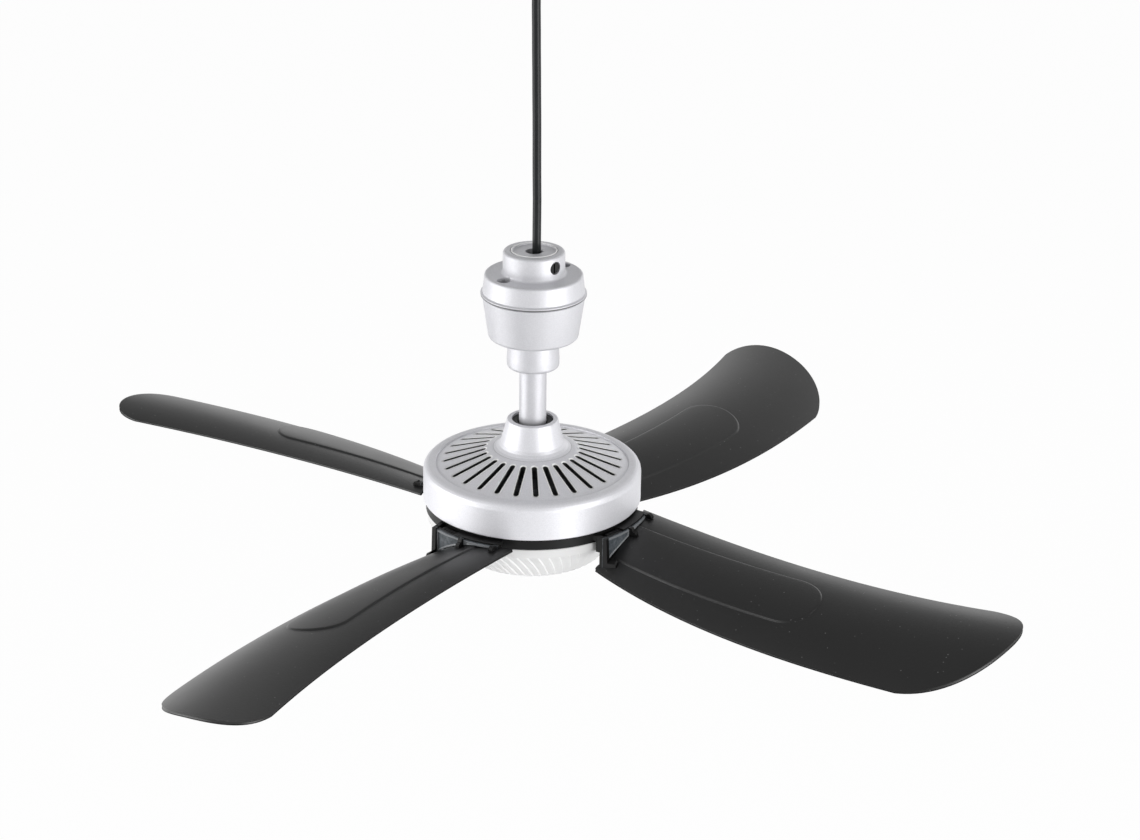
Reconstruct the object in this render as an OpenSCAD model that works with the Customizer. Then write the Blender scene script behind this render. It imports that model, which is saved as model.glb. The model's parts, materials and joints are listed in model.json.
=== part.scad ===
// Small hanging camping fan: four cambered blades on an outer-rotor motor, a down rod,
// a canopy and a taut cord that ends in a grip with a steel hook. Sizes in millimetres.
// The origin is the seat of the hook, +Z is up, and the first blade points along +X.

/* [Blades] */
// Diameter of the circle swept by the blade tips
sweep_d = 406; // [380:1:440]
// Thickness of a blade leaf along its middle
leaf_t = 1.5; // [1.2:0.1:2.2]
// Thickness of a blade leaf at its edges
leaf_edge_t = 0.9; // [0.6:0.1:1.2]
// Chord of the leaf at its root
chord_root = 37.7; // [36:0.1:42]
// Chord at a third of the span
chord_third = 47.2; // [45:0.1:53]
// Chord at two thirds of the span
chord_two_thirds = 51.4; // [48:0.1:58]
// Chord just beyond the tip
chord_tip = 56.9; // [50:0.1:60]
// How far the chord's middle trails the radius line at a third of the span
trail_third = 10.6; // [6:0.1:13]
// The same at two thirds of the span
trail_two_thirds = 12.2; // [8:0.1:15]
// The same just beyond the tip
trail_tip = 5.4; // [0:0.1:8]
// Pitch of the leaf at its root, in degrees
pitch_root = 18.6; // [15:0.1:20]
// Pitch at the middle of the span
pitch_middle = 14.3; // [10:0.1:17]
// Pitch at the tip
pitch_tip = 14.3; // [10:0.1:17]
// Depth of the leaf's middle line under the housing's lower edge, at its root
leaf_drop_root = 9.4; // [9:0.1:10.5]
// The same at the middle of the span
leaf_drop_middle = 12.5; // [11:0.1:14]
// The same at the tip
leaf_drop_tip = 12.2; // [10:0.1:14]
// Camber at the root, as a share of half the chord
camber_root = 0.212; // [0.15:0.001:0.3]
// Camber at the tip, as a share of half the chord
camber_tip = 0.214; // [0.15:0.001:0.3]
// Radius of the corners at the tip
tip_corner = 29.7; // [15:0.1:32]
// Height of the raised panel on a leaf
panel_h = 0.5; // [0.3:0.1:0.8]
// Radius from the fan's axis at which the raised panel's straight sides end
panel_r = 118.5; // [90:0.5:130]

/* [Blade brackets] */
// Distance of a bracket's trailing claw from the blade's radius line
claw_trail = 16; // [14:0.1:16.5]
// Distance of its leading claw from the blade's radius line
claw_lead = 11.6; // [10:0.1:13]
// Width of a claw
claw_w = 1.7; // [1.4:0.1:2.2]
// Thickness of a bracket's front wall
bracket_wall = 1.4; // [1.2:0.1:2]
// Thickness of a bracket's flange
flange_t = 2; // [1.6:0.1:2.2]
// How far the trailing claw's foot reaches out over the leaf
foot_reach = 4.2; // [3:0.1:6]
// How far the tongue under the leaf reaches past the leaf's root edge
tongue_reach = 9; // [6:0.5:14]

/* [Motor housing] */
// Diameter of the housing
housing_d = 84; // [82:0.5:90]
// Height of the housing's upright side
housing_side_h = 11.2; // [10:0.1:14]
// Radius of the housing's upper edge
housing_edge_r = 3; // [2:0.1:4]
// Wall of the housing
housing_wall = 1.8; // [1.4:0.1:2.2]
// Height of the slotted cone from its outer to its inner edge
cone_rise = 6.2; // [5:0.1:7.5]
// Number of ventilation slots
slot_count = 28; // [20:1:30]
// Width of a ventilation slot
slot_w = 2.05; // [1.6:0.05:2.4]
// Radius at which the slots begin
slot_in_r = 17.8; // [17.6:0.1:20]
// Radius at which the slots end
slot_out_r = 34.3; // [30:0.1:35]
// Height of the boss above the slotted cone
boss_h = 12.3; // [10:0.1:15]
// Diameter of the boss at its top
boss_top_d = 19.5; // [18.5:0.1:21]
// Diameter of the boss at its foot
boss_foot_d = 23.6; // [23:0.1:26]

/* [Blade carrier and lower cover] */
// Height of the black ring under the housing
ring_h = 4.2; // [3.8:0.1:5]
// Height of the smooth rim of the lower cover
rim_h = 3.7; // [3:0.1:4.5]
// Wall of the lower cover
cover_wall = 1.6; // [1.4:0.1:2]
// Radius of the lower cover where its pleated cone ends
cone_end_r = 28; // [26:0.1:30]
// Height of the pleated cone
cone_h = 12.4; // [11.5:0.1:14]
// Radius of the round edge under the pleated cone
dome_edge_r = 9; // [6:0.1:10]
// Number of pleats
pleat_count = 60; // [40:1:72]
// Height of a pleat's crest
pleat_h = 0.6; // [0.3:0.1:0.8]
// Turn of the pleats from the rim to the end of the cone, in degrees
pleat_turn = 9.5; // [0:0.5:15]

/* [Down rod] */
// Diameter of the down rod, which is also the motor's axle
rod_d = 10.4; // [9.6:0.1:11]
// Diameter of the rod's bore
rod_bore = 4.4; // [3:0.1:5]
// Length of rod that shows between the boss and the collar
rod_gap = 21.4; // [10:0.1:60]
// Diameter of the rod's threaded end
stud_d = 8; // [7.4:0.1:8.4]

/* [Canopy] */
// Diameter of the neck
neck_d = 23.4; // [23:0.1:25]
// Height of the neck
neck_h = 9; // [8.6:0.1:12]
// Diameter of the shoulder
shoulder_d = 37.2; // [37:0.1:40]
// Diameter of the lip above the seam
lip_d = 40; // [39.6:0.1:43]
// Height from the seam to the shoulder
canopy_top_h = 8.4; // [8:0.1:12]
// Diameter of the cup at the seam
cup_top_d = 38.8; // [38.6:0.1:41]
// Diameter of the cup at its floor
cup_floor_d = 34.4; // [34:0.1:37]
// Height of the cup
cup_h = 16.9; // [15:0.1:24]
// Thickness of the cup's floor
cup_floor_t = 2.4; // [1.8:0.1:3]
// Wall of the canopy
canopy_wall = 1.6; // [1.2:0.1:1.8]
// Height of the collar under the cup
collar_h = 12.1; // [8:0.1:20]
// Diameter of the collar at its lower end
collar_d = 20; // [18:0.1:24]
// Diameter of the screw's hole in the side of the neck
neck_hole_d = 5; // [4.4:0.1:5.6]

/* [Cord and grip] */
// Diameter of the cord
cord_d = 3.3; // [3:0.1:3.9]
// Diameter of the cord grip
grip_d = 14; // [13:0.1:18]
// Solid height of the grip's body above the cord
grip_solid_h = 13.3; // [10:0.1:20]
// Length of the grip's threaded spigot
grip_spigot_h = 6.3; // [5:0.1:8]

/* [Hook] */
// Diameter of the hook's wire
hook_wire = 3; // [2.6:0.1:4]
// Inner radius of the hook
hook_inner_r = 8; // [7:0.1:12]
// Radius of the bend between the hook's stem and its arc
hook_bend_r = 6; // [4:0.1:10]
// Direction in which the hook's arc ends, in degrees from +X
hook_end_angle = 200; // [180:1:210]

/* [Motor] */
// Width of the bearings
bearing_w = 5; // [4:0.1:5.5]
// Height of the stator core
core_h = 7; // [5:0.1:8]
// Number of stator teeth
tooth_count = 12; // [9:3:12]
// Air gap between the stator and the magnets
air_gap = 0.6; // [0.4:0.1:0.9]
// Thickness of the magnets
magnet_t = 2; // [1.6:0.1:2.4]
// Wall of the rotor cup
rotor_wall = 1.2; // [1:0.1:1.5]

/* [Hidden] */
$fn = 96;

// Clearances: a seated fit, a fit that turns or slides, and a seat of two moulded pieces
fit = 0.02;
run = 0.05;
seat = 0.3;
// How far one piece of a solid reaches into the next, and how far a cut runs past a face
bite = 0.4;
cut = 1;

// Colours
silver = [0.80, 0.80, 0.80];
black_leaf = [0.20, 0.20, 0.20];
black_gloss = [0.09, 0.09, 0.10];
white = [0.90, 0.90, 0.90];
steel = [0.62, 0.62, 0.64];
rubber = [0.06, 0.06, 0.06];

// Hook: its arc's middle line, its centre, and the top of its stem
hook_r = hook_inner_r + hook_wire / 2;
hook_centre_z = -hook_inner_r;
hook_bend_angle = acos(hook_bend_r / (hook_bend_r + hook_r));
hook_throat_z = hook_centre_z - (hook_bend_r + hook_r) * sin(hook_bend_angle);
hook_nut_h = 0.8 * hook_wire;
hook_nut_r = hook_wire / 2 + 1.7;
hook_tip_extra = 0.5;
hook_stem_depth = 9;

// Cord grip
grip_top_z = hook_throat_z - 2 - hook_nut_h;
cord_top_z = grip_top_z - grip_solid_h;
grip_r = grip_d / 2;
grip_shoulder = 0.7;
spigot_r = grip_r - 1.8;
pocket_r = spigot_r - 2;
grip_nut_h = grip_spigot_h + 4.7;
grip_nut_z = cord_top_z - 1 - grip_nut_h;
grip_flutes = 12;

// Cord: the route starts in the grip and its heights count down from the grip's pocket
cord_r = cord_d / 2;
cord_sides = 8;
cord_route = [[0, 0, 0], [0, 0, -6], [0, 0, -12], [0, 0, -20], [0.1, 0.1, -28], [0.2, 0.1, -36],
    [0.3, 0.2, -44], [0.4, 0.2, -52], [0.5, 0.3, -60], [0.6, 0.3, -68], [0.6, 0.4, -76],
    [0.7, 0.4, -84], [0.8, 0.5, -92], [0.8, 0.5, -100], [0.8, 0.5, -106], [0.8, 0.5, -112],
    [0.8, 0.5, -118], [0.8, 0.5, -124]];
cord_end = cord_route[len(cord_route) - 1];
cord_tail = 12;

// Canopy
neck_z = cord_top_z + cord_end[2] + cord_tail;
neck_r = neck_d / 2;
neck_bore = neck_r - 2.2;
neck_lip = neck_bore - 0.5;
neck_lip_h = 1.4;
neck_edge_r = 1.2;
neck_hole_depth = 4.2;
neck_hole_angle = -14;
insert_h = neck_h - 1;
shoulder_z = neck_z - neck_h;
seam_z = shoulder_z - canopy_top_h;
cup_z = seam_z - cup_h;
seam_groove = 0.4;
spigot_h = 2.5;
spigot_t = 1.1;
canopy_screw_r = shoulder_d / 2 - 4.3;
canopy_screw_angles = [-109, 71];
well_depth = 3.5;
well_r = 2.6;
well_floor = 1.2;
screw_r = 1.25;
post_r = 2.9;

// Down rod
rod_r = rod_d / 2;
collar_z = cup_z - collar_h;
boss_z = collar_z - rod_gap;
washer_t = 1.2;
washer_r = stud_d / 2 + 3.6;
nut_h = 0.8 * stud_d;
nut_r = stud_d / 2 + 3.5;

// Housing: heights from its lower edge, which lies at housing_z
housing_r = housing_d / 2;
housing_top_h = housing_side_h + housing_edge_r;
cone_out_r = housing_r - housing_edge_r - 2;
cone_in_r = slot_in_r - 0.4;
cone_step = 0.5;
cone_h_out = housing_top_h - cone_step;
cone_h_in = cone_h_out + cone_rise;
boss_fillet = 4.6;
boss_top_h = cone_h_in + boss_h;
housing_z = boss_z - boss_top_h;
slot_phase = -55.2;
seal_out_r = boss_top_d / 2 - 1.75;
seal_in_r = rod_r + 0.35;
seal_h = 4.4;
seal_depth = 0.8;
seal_ledge = 0.8;

// Motor: heights from the housing's lower edge
bearing_r = rod_r + 4.5;
ball_r = 1.3;
ball_count = 9;
ball_circle = rod_r + 2.25;
race_gap = 0.95;
upper_bearing_h = cone_h_in - 0.9 - bearing_w;
hub_out_r = slot_in_r - slot_w / 2 - 0.3;
skirt_r = housing_r - housing_wall - 5.7;
rotor_top_h = upper_bearing_h;
rotor_plate_h = rotor_top_h - 4.5;
rotor_low_h = -5;
rotor_hub_r = bearing_r - 1.1;
rotor_dish_r = hub_out_r + 6;
magnet_out_r = skirt_r - rotor_wall - fit;
magnet_in_r = magnet_out_r - magnet_t;
core_r = magnet_in_r - air_gap;
core_bottom_h = -2.5;
stator_hub_r = rod_r + 7;
stator_hub_low = core_bottom_h - 5;
stator_hub_top = core_bottom_h + core_h + 4.5;
yoke_r = stator_hub_r + 4;
tooth_w = 3.4;
tooth_head_t = 2.4;
tooth_head_gap = 2.2;
coil_t = 2.1;
coil_rise = 2.7;
board_t = 1.6;
board_out_r = skirt_r - 7.5;
spacer_r = rod_r + 1.2;
small_screw_r = 1;
small_head_r = 1.8;
small_head_h = 1.4;
carrier_floor_h = stator_hub_low - 3.1;
carrier_floor_t = 2;
lower_bearing_h = carrier_floor_h - bearing_w;
circlip_t = 1.2;
circlip_groove = 0.4;
axle_end_h = lower_bearing_h - circlip_t - 1.4;

// Blade carrier and lower cover
ring_r = housing_r - 1;
carrier_in_r = skirt_r + 2.1;
carrier_out_r = carrier_in_r + 2;
carrier_wall_h = rotor_low_h - 2.2;
carrier_spigot_h = 4;
bead_h = 2;
bead_t = 0.35;
rim_r = ring_r - 0.5;
rim_top_h = -ring_h - 0.2;
rim_low_h = rim_top_h - rim_h;
cover_in_r = rim_r - cover_wall;
cone_start_r = rim_r - 1.5;
cone_slope = atan2(cone_h, cone_start_r - cone_end_r);
dome_steps = 4;
pleat_crest = 0.85;

// Blades and brackets
blade_count = 4;
leaf_root_r = ring_r + 3.2;
section_root_r = ring_r - 0.8;
section_tip_r = sweep_d / 2 + 8.2;
leaf_tip_r = sweep_d / 2 - 1.5;
tip_skew = 0.034;
tip_crown = 0.007;
tip_power = 2.16;
root_corner = 5;
root_power = 7;
root_blend = 15.5;
root_blend_r = leaf_root_r + root_blend;
tip_blend = 53.5;
tip_blend_r = leaf_tip_r - tip_blend;
panel_end = 12;
panel_edge = 0.35;
panel_low_root = -0.58;
panel_low_end = -0.48;
panel_high_root = 0.34;
panel_high_end = 0.48;
leaf_gap = 0.15;
wall_in_r = leaf_root_r - 0.2;
wall_out_r = wall_in_r + bracket_wall;
wall_top = -1.5;
web_in_r = ring_r + 1.4;
web_out_r = wall_in_r - 0.2;
flange_top = -1;
flange_in_r = ring_r - 3.4;
flange_roof = 0.8;
flange_from = -6;
web_from = -13;
claws = [[-claw_trail, foot_reach], [-2.3, 0.5 * foot_reach], [claw_lead, 0.5 * foot_reach]];
claw_depth = 2.9;
claw_proud = 1.2;
foot_t = 1.5;
tongue_t = 1.6;
tab_low = -7.5;

// Points along an arc in the plane of a profile
function arc(centre, r, from, to, steps = 5) =
    [for (i = [0 : steps])
        let (a = from + (to - from) * i / steps) centre + r * [cos(a), sin(a)]];

// Value of a cubic through four values at 0, 1/3, 2/3 and 1
function through_four(p, s) =
    p[0] * (1 - 3 * s) * (2 - 3 * s) * (1 - s) / 2
    + p[1] * 9 * s * (2 - 3 * s) * (1 - s) / 2
    + p[2] * 9 * s * (3 * s - 1) * (1 - s) / 2
    + p[3] * s * (3 * s - 1) * (3 * s - 2) / 2;

// Value of a parabola through three values at 0, 1/2 and 1
function through_three(p, s) =
    p[0] * (1 - s) * (1 - 2 * s) + p[1] * 4 * s * (1 - s) + p[2] * s * (2 * s - 1);

module turned(points) {
    rotate_extrude() polygon(points);
}

module tube(r_out, r_in, h) {
    difference() {
        cylinder(r = r_out, h = h);
        translate([0, 0, -cut]) cylinder(r = r_in, h = h + 2 * cut);
    }
}

module hex_nut(r_corner, r_hole, h) {
    difference() {
        cylinder(r = r_corner, h = h, $fn = 6);
        translate([0, 0, -cut]) cylinder(r = r_hole, h = h + 2 * cut);
    }
}

// Hook, bent from one wire: a straight stem, a bend outwards and the open arc with its ball end
module wire_arc(r, from, to) {
    rotate([90, 0, 0]) rotate([0, 0, from])
        rotate_extrude(angle = to - from) translate([r, 0]) circle(d = hook_wire);
}

module wire_joint() {
    sphere(d = hook_wire + 0.06);
}

module hanging_hook() {
    stem_low = grip_top_z - hook_stem_depth;
    color(steel) {
        translate([0, 0, hook_centre_z]) {
            wire_arc(hook_r, -hook_bend_angle, hook_end_angle);
            rotate([0, hook_bend_angle, 0]) translate([hook_r, 0, 0]) wire_joint();
            rotate([0, -hook_end_angle, 0]) translate([hook_r, 0, 0])
                sphere(d = hook_wire + 2 * hook_tip_extra);
        }
        translate([hook_bend_r, 0, hook_throat_z])
            wire_arc(hook_bend_r, 180 - hook_bend_angle, 180);
        translate([0, 0, hook_throat_z]) wire_joint();
        translate([0, 0, stem_low]) cylinder(d = hook_wire, h = hook_throat_z - stem_low);
    }
}

module hook_jam_nut() {
    color(steel) translate([0, 0, grip_top_z])
        hex_nut(hook_nut_r, hook_wire / 2 + fit, hook_nut_h);
}

// Grip body: a solid head for the hook's stem over a threaded spigot with the cord's pocket
module cord_grip_body() {
    head_h = grip_solid_h + grip_shoulder;
    spigot_low = -grip_solid_h - grip_spigot_h - grip_shoulder;
    color(black_gloss) translate([0, 0, grip_top_z]) turned(concat(
        [[hook_wire / 2 + fit, 0], [grip_r - 3, 0]],
        arc([grip_r - 2, -2], 2, 90, 0),
        [[grip_r, -head_h], [spigot_r, -head_h], [spigot_r, spigot_low],
         [pocket_r, spigot_low], [pocket_r, -grip_solid_h],
         [0, -grip_solid_h], [0, -hook_stem_depth - seat],
         [hook_wire / 2 + fit, -hook_stem_depth - seat]]));
}

// Collet: the rubber sleeve that holds the cord in the pocket
module grip_collet() {
    color(rubber) translate([0, 0, cord_top_z - grip_spigot_h - 2.7])
        tube(pocket_r - run, cord_r + fit, grip_spigot_h + 1.7);
}

module cord_grip_nut() {
    flute_r = 1.1;
    color(black_gloss) difference() {
        translate([0, 0, grip_nut_z]) turned(concat(
            [[spigot_r + run, grip_nut_h], [grip_r, grip_nut_h], [grip_r, 4]],
            arc([grip_r - 3, 3], 3, 0, -60),
            [[cord_r + 2, 0], [cord_r + seat, 0], [cord_r + seat, 1.6], [pocket_r, 1.8],
             [pocket_r, 3.4], [spigot_r + run, 3.6]]));
        for (i = [1 : grip_flutes])
            rotate([0, 0, i * 360 / grip_flutes]) translate([grip_r + flute_r / 2, 0, grip_nut_z + 3])
                cylinder(r = flute_r, h = grip_nut_h, $fn = 24);
    }
}

// Tube swept along a route by rings that stay square to it
function ring_at(route, i, r, sides) =
    let (last = len(route) - 1,
         t = route[min(i + 1, last)] - route[max(i - 1, 0)],
         d = t / norm(t),
         u0 = cross(d, [0, 1, 0]),
         u = u0 / norm(u0),
         v = cross(d, u))
    [for (k = [0 : sides - 1])
        route[i] + r * (cos(k * 360 / sides) * u + sin(k * 360 / sides) * v)];

module swept_tube(route, r, sides) {
    rings = len(route);
    points = [for (i = [0 : rings - 1]) each ring_at(route, i, r, sides)];
    walls = [for (i = [0 : rings - 2], k = [0 : sides - 1])
        let (a = i * sides + k, b = i * sides + (k + 1) % sides)
        each [[a, a + sides, b], [b, a + sides, b + sides]]];
    first_end = [for (k = [0 : sides - 1]) k];
    last_end = [for (k = [sides - 1 : -1 : 0]) (rings - 1) * sides + k];
    polyhedron(concat(points), concat(walls, [first_end, last_end]));
}

module cord() {
    color(rubber) translate([0, 0, cord_top_z]) swept_tube(cord_route, cord_r, cord_sides);
}

// Neck insert: the plug that closes the neck, held up by the neck's lip and by its screw
module neck_insert() {
    hole_r = 3.25;
    plug_r = neck_bore - run;
    face_r = neck_lip - 0.2;
    face = -0.5;
    color(silver) difference() {
        translate([0, 0, neck_z]) turned([
            [hole_r, face], [face_r - 0.7, face], [face_r - 0.5, face + seat],
            [face_r - 0.1, face + seat], [face_r, face],
            [face_r, -neck_lip_h - 0.2], [plug_r, -neck_lip_h - 0.2],
            [plug_r, -insert_h], [hole_r, -insert_h]]);
        neck_screw_place(0) cylinder(r = screw_r + fit, h = neck_bore);
    }
}

// Place of the screw in the neck's side, its tip inwards at the given radius
module neck_screw_place(r) {
    rotate([0, 0, neck_hole_angle]) translate([r, 0, neck_z - neck_hole_depth]) rotate([0, 90, 0])
        children();
}

module neck_set_screw() {
    tip = 4.4;
    head_r = neck_hole_d / 2 - 0.3;
    color(steel) neck_screw_place(tip) difference() {
        union() {
            cylinder(r = screw_r, h = neck_bore - tip + bite);
            translate([0, 0, neck_bore - tip + run]) cylinder(r = head_r, h = 1.4);
        }
        translate([-head_r, -0.35, neck_bore - tip + 0.8]) cube([2 * head_r, 0.7, 2]);
    }
}

// Cord stop: a sleeve crimped on the cord's end, too wide for the insert's hole
module cord_stop() {
    stop_r = 4.6;
    color(steel) translate([cord_end[0], cord_end[1], neck_z - cord_tail])
        tube(stop_r, cord_r + fit, cord_tail - insert_h - seat);
}

module at_canopy_screws() {
    for (a = canopy_screw_angles)
        rotate([0, 0, a]) translate([canopy_screw_r, 0, 0]) children();
}

// Canopy top: side, shoulder and neck in one shell, with a well for each screw
module canopy_top() {
    lip_r = lip_d / 2;
    shoulder_r = shoulder_d / 2;
    lip_h = 1;
    seam = seam_z - neck_z;
    foot = 1.1;
    color(silver) difference() {
        union() {
            translate([0, 0, neck_z]) turned(concat(
                [[neck_lip, 0]],
                arc([neck_r - neck_edge_r, -neck_edge_r], neck_edge_r, 90, 0),
                arc([neck_r + foot, -neck_h + foot], foot, 180, 270),
                arc([shoulder_r - 1, -neck_h - 1], 1, 90, 0),
                [[lip_r - 0.7, seam + lip_h + 0.4], [lip_r, seam + lip_h - 0.1],
                 [lip_r, seam + 0.2], [lip_r - 0.2, seam],
                 [cup_top_d / 2 - canopy_wall - 0.1, seam],
                 [shoulder_r - canopy_wall, -neck_h - canopy_wall],
                 [neck_bore, -neck_h - canopy_wall], [neck_bore, -neck_lip_h],
                 [neck_lip, -neck_lip_h]]));
            at_canopy_screws() translate([0, 0, shoulder_z - well_depth - well_floor])
                cylinder(r = well_r + 0.8, h = well_depth + well_floor - bite);
        }
        at_canopy_screws() {
            translate([0, 0, shoulder_z - well_depth]) cylinder(r = well_r, h = well_depth + cut);
            translate([0, 0, shoulder_z - well_depth - well_floor - cut])
                cylinder(r = screw_r + run, h = well_depth);
        }
        neck_screw_place(neck_bore - cut) cylinder(d = neck_hole_d, h = neck_r);
    }
}

// Canopy cup with its collar, the screw posts and the spigot that centres the canopy top
module canopy_cup() {
    floor_r = cup_floor_d / 2;
    top_r = cup_top_d / 2;
    edge = 1.5;
    collar_r = collar_d / 2;
    inner_top = top_r - canopy_wall;
    spigot_out = inner_top - 0.35 - seat;
    post_top = shoulder_z - well_depth - well_floor - cup_z;
    color(silver) translate([0, 0, cup_z]) difference() {
        union() {
            turned(concat(
                [[top_r - seam_groove, cup_h], [top_r, cup_h - seam_groove], [floor_r, edge - 0.1]],
                arc([floor_r - edge, edge], edge, -10, -90),
                [[collar_r - 0.5, 0], [collar_r, -0.7 * collar_h], [collar_r, 1.4 - collar_h]],
                arc([collar_r - 1.4, 1.4 - collar_h], 1.4, 0, -90, 4),
                [[rod_r + run, -collar_h], [rod_r + run, 0], [stud_d / 2 + 0.1, 0],
                 [stud_d / 2 + 0.1, cup_floor_t], [floor_r - canopy_wall - 1, cup_floor_t],
                 [floor_r - canopy_wall + 0.1, cup_floor_t + 1.1],
                 [spigot_out - spigot_t, cup_h - 3],
                 [spigot_out - spigot_t, cup_h + spigot_h],
                 [spigot_out, cup_h + spigot_h], [spigot_out, cup_h]]));
            at_canopy_screws() translate([0, 0, cup_floor_t - bite])
                cylinder(r = post_r, h = post_top - cup_floor_t + bite);
        }
        at_canopy_screws() translate([0, 0, post_top - 10]) cylinder(r = screw_r + fit, h = 10 + cut);
    }
}

module canopy_screws() {
    head_r = well_r - 0.3;
    head_h = 1.6;
    color(steel) at_canopy_screws() translate([0, 0, shoulder_z - well_depth]) difference() {
        union() {
            cylinder(r = head_r, h = head_h);
            translate([0, 0, -10]) cylinder(r = screw_r, h = 10 + bite);
        }
        translate([-head_r, -0.35, head_h - 0.7]) cube([2 * head_r, 0.7, 2]);
        translate([-0.35, -head_r, head_h - 0.7]) cube([0.7, 2 * head_r, 2]);
    }
}

// Terminal block: joins the cord's cores to the motor's leads
module terminal_block() {
    size = [5.4, 10, 8];
    inner_x = on_circle(cup_floor_d / 2 - canopy_wall - 1.2, size[1] / 2) - size[0];
    color(white) rotate([0, 0, -20]) translate([inner_x, 0, cup_z + cup_floor_t])
        difference() {
            translate([0, -size[1] / 2, 0]) cube(size);
            for (side = [-1, 1])
                translate([size[0] / 2, side * size[1] / 4, size[2] - 3]) cylinder(r = 1.4, h = 3 + cut);
        }
}

module rod_washer() {
    color(steel) translate([0, 0, cup_z + cup_floor_t]) tube(washer_r, stud_d / 2 + 0.1, washer_t);
}

module rod_lock_nut() {
    color(steel) translate([0, 0, cup_z + cup_floor_t + washer_t])
        hex_nut(nut_r, stud_d / 2 + fit, nut_h);
}

// Down rod: a tube with a threaded end above and the motor's axle below
module down_rod() {
    stud_top = cup_z + cup_floor_t + washer_t + nut_h + 1.5;
    axle_end = housing_z + axle_end_h;
    groove = housing_z + lower_bearing_h;
    bore = rod_bore / 2;
    color(silver) turned([
        [bore, axle_end], [rod_r - 0.5, axle_end], [rod_r, axle_end + 0.5],
        [rod_r, groove - circlip_t - fit], [rod_r - circlip_groove, groove - circlip_t - fit],
        [rod_r - circlip_groove, groove], [rod_r, groove], [rod_r, cup_z],
        [stud_d / 2, cup_z], [stud_d / 2, stud_top], [bore, stud_top]]);
}

// Ball bearings: races with a groove each, and their balls
module ball_groove(h) {
    translate([0, 0, h + bearing_w / 2]) rotate_extrude() translate([ball_circle, 0])
        circle(r = ball_r + run);
}

module inner_race(h) {
    color(steel) translate([0, 0, housing_z]) difference() {
        translate([0, 0, h]) tube(ball_circle - race_gap, rod_r + fit, bearing_w);
        ball_groove(h);
    }
}

module outer_race(h) {
    color(steel) translate([0, 0, housing_z]) difference() {
        translate([0, 0, h]) tube(bearing_r, ball_circle + race_gap, bearing_w);
        ball_groove(h);
    }
}

module balls(h) {
    color(steel) translate([0, 0, housing_z + h + bearing_w / 2])
        for (i = [1 : ball_count])
            rotate([0, 0, i * 360 / ball_count]) translate([ball_circle, 0, 0])
                sphere(r = ball_r, $fn = 24);
}

module upper_bearing_inner_race() { inner_race(upper_bearing_h); }
module lower_bearing_inner_race() { inner_race(lower_bearing_h); }
module upper_bearing_outer_race() { outer_race(upper_bearing_h); }
module lower_bearing_outer_race() { outer_race(lower_bearing_h); }
module upper_bearing_balls() { balls(upper_bearing_h); }
module lower_bearing_balls() { balls(lower_bearing_h); }

// Spacers: they carry the clamping force between the stator hub and the inner races
module upper_spacer() {
    color(steel) translate([0, 0, housing_z + stator_hub_top])
        tube(spacer_r, rod_r + fit, upper_bearing_h - stator_hub_top);
}

module lower_spacer() {
    top = stator_hub_low;
    bottom = lower_bearing_h + bearing_w;
    color(steel) translate([0, 0, housing_z + bottom]) tube(spacer_r, rod_r + fit, top - bottom);
}

module axle_circlip() {
    color(steel) translate([0, 0, housing_z + lower_bearing_h - circlip_t]) difference() {
        tube(rod_r + 1.8, rod_r - circlip_groove + fit, circlip_t - fit);
        translate([0, -1.2, -cut]) cube([rod_r + 3, 2.4, circlip_t + 2 * cut]);
    }
}

// Stator: a moulded hub on the axle, the toothed core, one coil a tooth and the driver board
module stator_hub() {
    flange_low = core_bottom_h - 1.6;
    color(white) translate([0, 0, housing_z]) turned([
        [rod_r + fit, stator_hub_low], [stator_hub_r - 2, stator_hub_low],
        [stator_hub_r - 2, flange_low - 1], [stator_hub_r + 1.5, flange_low],
        [stator_hub_r + 1.5, core_bottom_h - fit], [stator_hub_r, core_bottom_h - fit],
        [stator_hub_r, core_bottom_h + core_h + 0.8], [stator_hub_r - 2.5, stator_hub_top],
        [rod_r + fit, stator_hub_top]]);
}

module stator_core() {
    tooth_end = core_r - tooth_head_t;
    head_angle = 360 / tooth_count - 2 * asin(tooth_head_gap / 2 / core_r);
    color([0.45, 0.46, 0.48]) translate([0, 0, housing_z + core_bottom_h])
        linear_extrude(core_h) difference() {
            union() {
                circle(r = yoke_r);
                for (i = [1 : tooth_count]) rotate([0, 0, i * 360 / tooth_count]) {
                    translate([yoke_r - 1, -tooth_w / 2]) square([tooth_end - yoke_r + 2, tooth_w]);
                    polygon(concat(
                        arc([0, 0], core_r, -head_angle / 2, head_angle / 2, 6),
                        [[tooth_end, tooth_w], [tooth_end, -tooth_w]]));
                }
            }
            circle(r = stator_hub_r + fit);
        }
}

module stator_windings() {
    inner_r = yoke_r + 0.8;
    length = core_r - tooth_head_t - 1.2 - inner_r;
    width = tooth_w + 2 * coil_t;
    height = core_h + 2 * coil_rise;
    color([0.72, 0.42, 0.20]) translate([0, 0, housing_z + core_bottom_h + core_h / 2])
        for (i = [1 : tooth_count])
            rotate([0, 0, i * 360 / tooth_count]) translate([inner_r, 0, 0]) difference() {
                translate([0, -width / 2, -height / 2]) cube([length, width, height]);
                translate([-cut, -tooth_w / 2 - 0.1, -core_h / 2 - 0.1])
                    cube([length + 2 * cut, tooth_w + 0.2, core_h + 0.2]);
            }
}

module circuit_board() {
    color([0.10, 0.32, 0.18]) translate([0, 0, housing_z + stator_hub_low - board_t - fit])
        tube(board_out_r, spacer_r + 0.6, board_t);
}

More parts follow.
